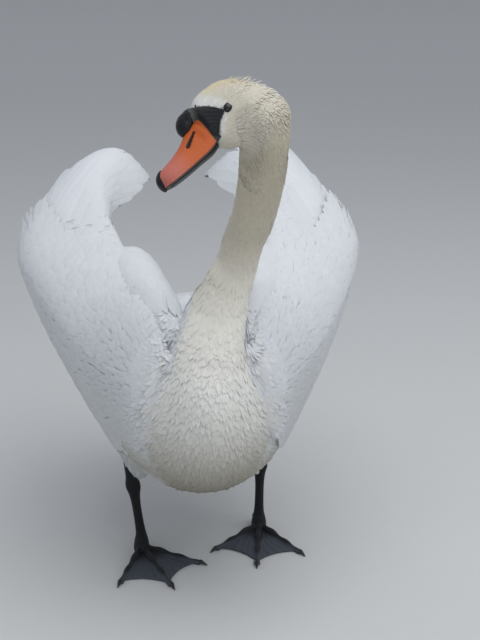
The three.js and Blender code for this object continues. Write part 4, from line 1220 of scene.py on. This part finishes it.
tiers_above = [   # reach, height over the shell, and how many times as many feathers as in the longest tier
    (0.78, -2.0, 1.1), (0.57, -1.3, 1.5), (0.39, -0.6, 1.9), (0.24, 0.0, 2.6)]
fan_parts = [("sail", 0.035, 0.54, 12), ("primaries", 0.52, 0.965, 14)]   # first and last share, and feathers
FLARE = 24    # mm that the tips stand off near the rim
for leg_name, leg in LEGS.items():
    side = leg["side"]
    for part, low, high, count in fan_parts:
        share, gap = np.linspace(low, high, count, retstep=True)
        tiers = [fanned(side, share, gap * 1.1, 1.0, relief(-3.0, 0, FLARE), seed=50, tilt=0.04, blunt=12)]
        for k, (reach, above, more) in enumerate(tiers_above):
            fine, near = np.linspace(low, high, int(count * more), retstep=True)
            tiers.append(fanned(side, fine, near * 0.8, reach, relief(above, 0, FLARE), seed=51 + k,
                                cup=0.05, thick=0.8))
            tiers.append(fanned(side, fine, near * 0.85, reach, relief(-5.5 - 1.5 * k, 3, FLARE),
                                seed=61 + k, cup=-0.05, thick=0.9))
        if part == "sail":
            tiers.append(plumes(side))
        coat(f"wing_{part}_fan_{leg_name}", tiers, vane_finish, "plumage_white", f"wing_{part}_{leg_name}")

# %% [markdown]
# ## Tail
# Eleven stiff feathers in a shallow wedge, the middle ones longest, with shorter coverts over and under
# their roots.

# %% The tail's feathers
stiff = [(q, min(1, (q / 0.25) ** 0.6) * (1 - q ** 6) ** 0.5) for q in np.linspace(0.06, 0.985, 11)]
tail_rows = [   # feathers, half width at roots and tips, y of roots and tips, height, width, seed
    (11, 34, 60, 262, 453, 312, 30, 71), (9, 38, 56, 240, 400, 322, 34, 72),
    (9, 40, 54, 225, 365, 329, 34, 73), (9, 38, 56, 240, 390, 302, 34, 74)]


def tail_tier(count, half_root, half_tip, start, end, height, width, seed):
    """Feathers side by side: share a of -1 to 1 from (half_root x a, start) to (half_tip x a, end)."""
    chance = np.random.default_rng(seed)
    a = np.linspace(-1, 1, count)
    root = np.stack([half_root * a, np.full(count, start), height - 8 * a ** 2], 1)
    tip = np.stack([half_tip * a, end - 70 * a ** 2 + chance.uniform(-9, 9, count),
                    height + 8 - 20 * a ** 2], 1)
    root[:, 2] += 1.2 * np.where(np.arange(count) % 2, 1, -1)
    out = unit(np.stack([0.25 * a, np.zeros(count), np.ones(count)], 1))
    along = unit(tip - root)
    out = unit(out - along * np.einsum("ij,ij->i", along, out)[:, None])
    hue = WHITE * (1 + chance.normal(0, 0.02, (count, 1)))
    return feathers(root, along, out, np.linalg.norm(tip - root, axis=1), width, lift=0.0, cup=0.12,
                    thick=0.03, blade=stiff, around=12, hue=hue,
                    spot=spot_of(root[:, 0], root[:, 1], (-80, 80), (200, 400)))


coat("tail_fan", [tail_tier(*row) for row in tail_rows], vane_finish, "plumage_white", "tail")

# %% [markdown]
# ## Face, bill, knob and eyes
# The front of the face is bare and black, tight over the bone, with fine folds round the gape. It is a
# close shell over the skin that sinks under the feathers at its edge. The bill is orange, paler and
# pinker towards the tip, black round its edges; the nail is black, and the knob is swollen and shiny.

# %% The bare face
def ripple(forward, up, left):
    """Fine folds: two sets of waves, one round the gape and one running back from the knob."""
    return (0.07 * np.sin(1.5 * np.hypot(forward - 48, up + 14))
            + 0.09 * np.sin(1.1 * (forward + 1.6 * up) + left)
            + 0.08 * np.sin(0.9 * (up - forward) + 0.6 * left))


knob_lobes = [   # middle ahead and up, half length, half height, half width, and tilt in degrees
    (42.5, 27.2, 16, 12.6, 13, 30), (35.5, 28.6, 14, 9.6, 14.5, 38), (29, 28, 10, 7.0, 17, 40)]


def to_knob(forward, up, left):
    """About how far away the knob is: the least of (scaled radius - 1) x smallest radius of its lobes."""
    gaps = []
    for start, height, long, high, half, tip in knob_lobes:
        c, d = np.cos(np.radians(tip)), np.sin(np.radians(tip))
        ahead, above = forward - start, up - height
        radius = np.sqrt(((ahead * c - above * d) / long) ** 2 + ((ahead * d + above * c) / high) ** 2
                         + (left / half) ** 2)
        gaps.append((radius - 1) * min(long, high, half))
    return np.minimum.reduce(gaps)


s_face, turn_face = np.linspace(0.0, 3.6, 150)[:, None], round_about(200)
forward, up, left = head_steps(skull(s_face, turn_face, 0.0))
inside_mask = in_mask(forward, up)
sink = 0.5 + 3.6 * (1 - smooth_step(inside_mask, -2.5, 1.5))
near_orange = smooth_step(forward - track(up, [(-12, 38.6), (18, 33.0), (21, 36)]), -6, -0.5)
swell = 4.5 * np.exp(-np.maximum(to_knob(forward, up, left), 0) / 5) * smooth_step(inside_mask, 0, 6)
swell = swell * (1 - near_orange * (1 - smooth_step(up, 19, 24)))
points, faces = tube(skull(s_face, turn_face, sink - swell + ripple(forward, up, left) * 0.8))
shown("face", (points, faces), markings(points), face_finish, "bare_black")


# %% Upper bill
# Height of ridge and mouth line, and half width, at so many mm ahead of the head's middle.
ridge = [(31, 25), (38, 24), (50, 22.5), (66, 17.4), (80, 15), (92, 14.3), (107, 14.2), (114, 12.2),
         (119, 8.5)]
mouth = [(31, -15), (38, -15.5), (50, -16.8), (69, -14.3), (85, -12.1), (107, -8), (119, -4.2)]
bill_half = [(31, 19.4), (38, 19), (66, 17.6), (92, 17.4), (105, 16.4), (113, 13.4), (119, 7)]


def to_segment(x, y, a, b):
    """Distance of (x, y) from the straight piece a to b."""
    dx, dy = b[0] - a[0], b[1] - a[1]
    t = np.clip(((x - a[0]) * dx + (y - a[1]) * dy) / (dx * dx + dy * dy), 0, 1)
    return np.hypot(x - a[0] - t * dx, y - a[1] - t * dy)


at, around_bill = np.linspace(31.0, 119, 185)[:, None], round_about(160)
lift, base = np.sin(around_bill), track(at, mouth)
height = np.where(lift > 0, (track(at, ridge) - base) * np.abs(lift) ** 0.85, lift)
side_way = track(at, bill_half) * np.abs(np.cos(around_bill)) ** 0.92
forward, up = at + 0 * height, base + height

# The bill widens to the skull's own width where it meets the face.
to_face = np.maximum(38 - forward, 0)
skull_way = (19.3 + 0.42 * to_face) * np.sqrt(np.clip(1 - (up / (24.3 + 0.95 * to_face)) ** 2, 0.02, 1))
side_way = side_way + np.maximum(skull_way - side_way, 0) * (1 - smooth_step(forward, 38, 49)) * (lift > 0)

# The nostril is a hollow along a slit; a groove runs along the bill's lower edge.
slit = to_segment(forward, up, (47.0, 13.0), (65.5, 7.2))
slit_width = 1.2 + 0.9 * smooth_step(forward, 46, 64)
hollow = np.exp(-(slit / slit_width) ** 4) * (lift > 0)
side_way = side_way * (1 - 0.2 * hollow) - 0.35 * np.exp(-((up - base - 3.2) / 1.1) ** 2)
bill_points = in_head(forward, up, side_way * np.sign(np.cos(around_bill)))

# Orange turns to pink towards the tip; the lower edge, the nostril and the rim at the face are black.
fade = smooth_step(forward + 0.5 * (up - base - 8), 70, 104)
hue = ORANGE + (PINK - ORANGE) * fade[..., None]
hue = hue * (1 + 0.05 * np.sin(forward * 0.9 + 3 * np.sin(up * 0.7)) * np.sin(up * 1.3))[..., None]
edge = np.maximum.reduce([1 - smooth_step(up - base, 0.2, 1.1), 1 - smooth_step(slit - slit_width, -0.2, 0.7),
                          1 - on_bill(forward, np.minimum(up, 19))])
hue = hue + (BARE - hue) * edge[..., None]
hue = np.concatenate([hue.reshape(-1, 3), [BARE, PINK]])
shown("upper_bill", tube(bill_points), hue, horn_finish, "bill_orange", "bill_upper")


# %% Lower bill and nail
at, half_turn = np.linspace(38.3, 113, 90)[:, None], np.linspace(0, np.pi, 40)[None]
deep = track(at, [(38, 3.2), (60, 1.8), (90, 1.3), (113, 1.0)])
under = in_head(at + 0 * half_turn, track(at, mouth) - 1.2 - deep * np.sin(half_turn),
                (track(at, bill_half) - 6.5) * np.cos(half_turn))
shown("lower_bill", tube(under), BARE * 1.6, horn_finish, "bare_black", "bill_lower")

nail_rows = np.array([   # upper edge ahead and up, lower edge ahead and up, half width
    [106, 15.6, 105, 6, 5.5], [111, 15.4, 112, -4, 8.6], [116.5, 13.2, 117, -6.2, 8.8],
    [121, 8.6, 121.5, -6.4, 6.6], [123.2, 3, 123.2, -3.4, 2.6]])
row, turn = spline(nail_rows, np.linspace(0, 4, 40))[:, None], round_about(48)
nail = in_head((row[..., 0] + row[..., 2]) / 2 + (row[..., 0] - row[..., 2]) / 2 * np.sin(turn),
               (row[..., 1] + row[..., 3]) / 2 + (row[..., 1] - row[..., 3]) / 2 * np.sin(turn),
               row[..., 4] * np.cos(turn))
shown("nail", tube(nail), BARE * 1.2, knob_finish, "bare_black", "bill_nail")


# %% Knob
def ball(rows, cols):
    """Unit directions of a globe, poles left out: latitude rings from pole to pole."""
    lat, lon = np.linspace(-np.pi / 2, np.pi / 2, rows + 2)[1:-1, None], round_about(cols)
    return np.stack([np.cos(lat) * np.cos(lon), np.cos(lat) * np.sin(lon), np.sin(lat) + 0 * lon], -1)


def lobe(forward, up, long, high, half, tip):
    """Ellipsoid in the head's frame, tipped nose down by an angle in degrees."""
    globe = ball(40, 60) * [long, half, high]
    c, d = np.cos(np.radians(tip)), np.sin(np.radians(tip))
    return tube(in_head(forward + globe[..., 0] * c + globe[..., 2] * d,
                        up - globe[..., 0] * d + globe[..., 2] * c, globe[..., 1]))


points, faces = melted([lobe(*sizes) for sizes in knob_lobes], 0.0009, 30)
forward, up, left = head_steps(points)
wrinkle = (np.sin(0.8 * forward + 1.1 * left) * np.sin(0.7 * up + 0.9 * left)
           + 0.5 * np.sin(1.9 * forward - 1.3 * up) * np.sin(1.7 * left))
points = points + unit(points - in_head(41.0, 26.0, 0.0)) * wrinkle[:, None] * 0.13
shown("knob", (points, faces), BARE, knob_finish, "bare_black", "bill_knob")

# %% [markdown]
# ## Eyes
# A swan's eye is small and nearly black, a dark brown iris round a wide pupil, wet and shining. Each is
# a ball in its socket; a ring of lid, almond-shaped, hugs it and hides its edge.

# %% Eyes and lids
EYE_RADIUS, EYE_OUT = 6.2, 21.6                # mm; the ball's middle lies so far to the head's side
LID_WIDE, LID_TALL, LID_THICK = 5.6, 3.8, 0.8  # mm, half the opening each way, and the lid's thickness
ALONG_SLIT, DOWN_SLIT = 0.94, 0.34             # the slit's direction: down towards the bill
LID_BALL = 6.5                                 # mm, radius of the ball that the lid rides on


def eyeball(side):
    """A ball whose colour goes by the angle from its front: pupil, brown iris, and black beyond."""
    globe = ball(60, 80)
    eye_points = in_head(globe[..., 0] * EYE_RADIUS, globe[..., 1] * EYE_RADIUS,
                         side * (EYE_OUT + globe[..., 2] * EYE_RADIUS))
    from_axis = np.degrees(np.arccos(np.clip(globe[..., 2], -1, 1)))
    iris = smooth_step(from_axis, 24, 27) * (1 - smooth_step(from_axis, 44, 48))
    hue = np.array([0.004, 0.004, 0.004]) + iris[..., None] * np.array([0.028, 0.013, 0.006])
    return tube(eye_points), np.concatenate([hue.reshape(-1, 3), hue[0, :1], hue[-1, :1]])


def lid(side):
    """A ring round the eye's opening that rides on a slightly larger ball than the eye's."""
    turn, ring = round_about(72).T, round_about(16)
    wide, tall = LID_WIDE * np.cos(turn), LID_TALL * np.sin(turn)
    wide, tall = wide * ALONG_SLIT + tall * DOWN_SLIT, tall * ALONG_SLIT - wide * DOWN_SLIT
    reach = np.hypot(wide, tall)
    thick = LID_THICK + 0.2 * np.maximum(np.sin(turn), 0)
    grow_out = 1 + thick * np.cos(ring) / reach
    deep = EYE_OUT + np.sqrt(np.maximum(LID_BALL ** 2 - reach ** 2, 4)) - 0.8 + thick * np.sin(ring)
    points = in_head(wide * grow_out, tall * grow_out, side * deep).reshape(-1, 3)
    index = np.arange(turn.size * ring.size).reshape(turn.size, ring.size)
    over, along = np.roll(index, -1, axis=0), np.roll(index, -1, axis=1)
    quads = np.stack([index, along, np.roll(over, -1, axis=1), over], -1).reshape(-1, 4)
    if volume(points - points.mean(0), [quads]) < 0:
        quads = quads[:, ::-1]
    return points, [quads]


for name, side in (("left", 1), ("right", -1)):
    shape, hue = eyeball(side)
    shown(f"eyeball_{name}", shape, hue, eye_finish, "eye", f"eye_{name}")
    shown(f"lid_{name}", lid(side), BARE, face_finish, "bare_black")

# %% [markdown]
# ## Legs and feet
# Short black legs, scaled all over, with a thick ankle joint just under the feathers. The three front
# toes carry a web that folds like wet cloth, and the small hind toe hangs free. Shank and foot are one
# skin each; the foot is melted from tubes and slabs just as the body was.

# %% Shanks
LEG_HUE, WEB_HUE = np.array([0.012, 0.0125, 0.015]), np.array([0.07, 0.08, 0.10])
shank_rows = np.array([   # height, way back, radius
    [28, 0, 9.8], [38, 1, 8.4], [55, 2, 7.6], [85, 4, 7.6], [104, 6, 9.4], [120, 8, 14], [133, 7, 10.6],
    [146, 6, 9.6], [178, 2, 9.6]])


def shank(leg):
    """A tube up the leg: radius x (1 + 0.03 x bands of scales in front) x (1 - 0.12 x a squarer ankle)."""
    row, turn = spline(shank_rows, np.linspace(0, 8, 150))[:, None], round_about(60)
    scutes = 1 + 0.03 * np.abs(np.sin(row[..., 0] * 0.75)) * (1 - smooth_step(np.sin(turn), -0.2, 0.5))
    joint = 1 - 0.12 * np.exp(-((row[..., 0] - 120) / 9) ** 2) * np.cos(2 * turn) ** 2
    radius = row[..., 2] * scutes * joint
    lean = leg["side"] * leg["lean"] * (row[..., 0] - 30)
    return tube(np.stack([leg["x"] + lean + radius * np.cos(turn),
                          leg["y"] + row[..., 1] + radius * 1.12 * np.sin(turn), row[..., 0] + 0 * turn], -1))


print("a shank has", len(shank(LEGS["left"])[0]), "points")

# %% Parts of a foot
toe_rows = {   # splay in degrees, length, radius
    "inner": (40, 112, 7.2), "middle": (0, 136, 7.8), "outer": (-38, 118, 7.2)}
heel_rows = np.array([   # height, way back, half width, half length
    [0, 1, 12.5, 14.5], [7, 1, 13.5, 15], [18, 0, 12.5, 13], [30, 0, 10, 11]])
hind_rows = np.array([[0, 25, 6], [14, 22, 5.6], [26, 15, 4.6], [34, 9, 2.6]])   # way out, height, radius


def floor_way(degrees):
    """Unit vector on the floor: 0 is straight ahead, growing towards the bird's left."""
    return np.array([np.sin(np.radians(degrees)), -np.cos(np.radians(degrees)), 0.0])


def rod(heel_at, way, far_out, half, height, tall, arc):
    """A tube along the floor: far_out along its way, half x cos(arc) to the side and
    height + tall x sin(arc) up."""
    place = heel_at + way * far_out[..., None] + np.cross([0, 0, 1], way) * (half * np.cos(arc))[..., None]
    place[..., 2] = height + tall * np.sin(arc)
    return tube(place)


def front_toe(heel_at, way, length, radius):
    """A half round that thins out to its tip, with three knuckles."""
    t = np.linspace(0, 1, 60)[:, None]
    knuckle = 1 + 0.12 * np.cos(t * 6 * np.pi)
    half, tall = radius * (1.1 - 0.48 * t) * knuckle, (21 - 14.4 * t ** 0.55) * knuckle
    return rod(heel_at, way, t * length, half, 0, tall, np.linspace(0, np.pi, 24)[None])


def heel(heel_at):
    """The block that the toes and the shank grow from."""
    z, shift, wide, long = np.moveaxis(spline(heel_rows, np.linspace(0, 3, 20))[:, None], -1, 0)
    ring = round_about(32)
    return tube(heel_at + np.stack([wide * np.cos(ring), shift + long * np.sin(ring), z + 0 * ring], -1))


def hind_toe(heel_at, way):
    """The small toe that hangs behind."""
    far_out, z, radius = np.moveaxis(spline(hind_rows, np.linspace(0, 3, 20))[:, None], -1, 0)
    return rod(heel_at, way, far_out, radius, z, radius, round_about(32))


def web(heel_at, toe_a, toe_b):
    """Skin between two toes: a curve from tip to tip, drawn in to 0.8 of the middle, shrunk towards the
    heel by a. Its folds are sin^2 of the way across, growing outwards."""
    (way_a, long_a, _), (way_b, long_b, _) = toe_a, toe_b
    a, b = np.linspace(0.04, 1, 60)[:, None], np.linspace(0, 1, 50)[None]
    end_a, end_b = way_a * long_a * 0.93, way_b * long_b * 0.93
    pull = (end_a + end_b) / 2 * 0.80
    rim = end_a * (1 - b[..., None]) ** 2 + 2 * pull * (b * (1 - b))[..., None] + end_b * b[..., None] ** 2
    low = heel_at + rim * a[..., None]
    top = low.copy()
    fold = np.sin(b * np.pi * 5 + 1.5 * np.sin(a * 4)) ** 2 * np.sin(b * np.pi) * a
    top[..., 2] = 2.8 + 2.2 * fold + 6 * (1 - a) ** 2
    return slab(top, low)


def claw(heel_at, way, length):
    """A small cone, bent down, from the toe's tip."""
    t = np.linspace(0, 1, 24)[:, None]
    radius = 3.6 * (1 - 0.82 * t ** 1.3)
    return rod(heel_at, way, length + 0.3 + 13 * t, radius, radius + (1 - t) * 1.6, radius, round_about(32))


print("the left foot points to", np.round(floor_way(LEGS["left"]["heading"])[:2], 2))

# %% Legs, feet and claws
for leg_name, leg in LEGS.items():
    shown(f"bare_leg_{leg_name}", shank(leg), LEG_HUE, leg_finish, "leg_skin", f"shank_{leg_name}")
    side, heel_at = leg["side"], np.array([leg["x"], leg["y"], 0.0])
    toes = [(floor_way(leg["heading"] - side * splay), length, radius)
            for splay, length, radius in toe_rows.values()]
    parts = [front_toe(heel_at, *toe) for toe in toes]
    parts += [heel(heel_at), hind_toe(heel_at, floor_way(leg["heading"] + 180 + side * 18))]
    parts += [web(heel_at, *pair) for pair in zip(toes[:-1], toes[1:])]
    points, faces = melted(parts, 0.0013, 3)
    points[:, 2] = np.maximum(points[:, 2], 0.0)
    flat_share = 1 - smooth_step(points[:, 2], 4.5, 9)
    away = np.hypot(*(points[:, :2] - heel_at[:2]).T)
    hue = LEG_HUE + (WEB_HUE - LEG_HUE) * (flat_share * smooth_step(away, 20, 60))[:, None]
    shown(f"webbed_foot_{leg_name}", (points, faces), hue, web_finish, "leg_skin", f"foot_{leg_name}")
    for name, (way, length, _) in zip(toe_rows, toes):
        points, faces = claw(heel_at, way, length)
        keep(make_mesh(f"toe_claw_{leg_name}_{name}", in_model(points), faces), claw_finish, "bare_black",
             f"claw_{leg_name}_{name}")

# %% [markdown]
# ## Floor and light
# A museum piece on a plain pale floor, under one broad soft light from above and a weaker one from the
# front. The world gives an even grey from all sides, as an overcast sky does.

# %% Floor, lights and world
FLOOR_HALF, FLOOR_TOP, FLOOR_UNDER = 30.0, -0.0006, -0.02    # m
x, y = np.meshgrid([-FLOOR_HALF, FLOOR_HALF], [-FLOOR_HALF, FLOOR_HALF])
sheets = [np.stack([x, y, np.full_like(x, z)], -1) for z in (FLOOR_TOP, FLOOR_UNDER)]
floor = make_mesh("floor", *slab(*sheets))
floor_finish = finish("pale floor", 0.85, size=30, depth=0.0, dark=0.03, base=(0.66, 0.66, 0.65))
floor.data.materials.append(floor_finish)


def area_light(name, place, aim, size, power):
    """A square light of this size (m) and power (W) at a place, facing the aim."""
    lamp = bpy.data.lights.new(name, "AREA")
    lamp.size, lamp.energy = size, power
    holder = bpy.data.objects.new(name, lamp)
    holder.location = place
    holder.rotation_euler = (Vector(aim) - Vector(place)).to_track_quat("-Z", "Y").to_euler()
    bpy.context.scene.collection.objects.link(holder)


area_light("sky light", (0.6, -0.9, 3.3), (0, 0, 0.4), 3.6, 64)
area_light("front light", (0.5, -3.2, 1.9), (0, 0, 0.5), 2.2, 8)
world = bpy.data.worlds.new("studio")
world.use_nodes = True
set_up(world.node_tree.nodes["Background"], Color=(0.75, 0.8, 0.88, 1), Strength=0.54)
bpy.context.scene.world = world
bpy.context.scene.view_settings.view_transform = "Standard"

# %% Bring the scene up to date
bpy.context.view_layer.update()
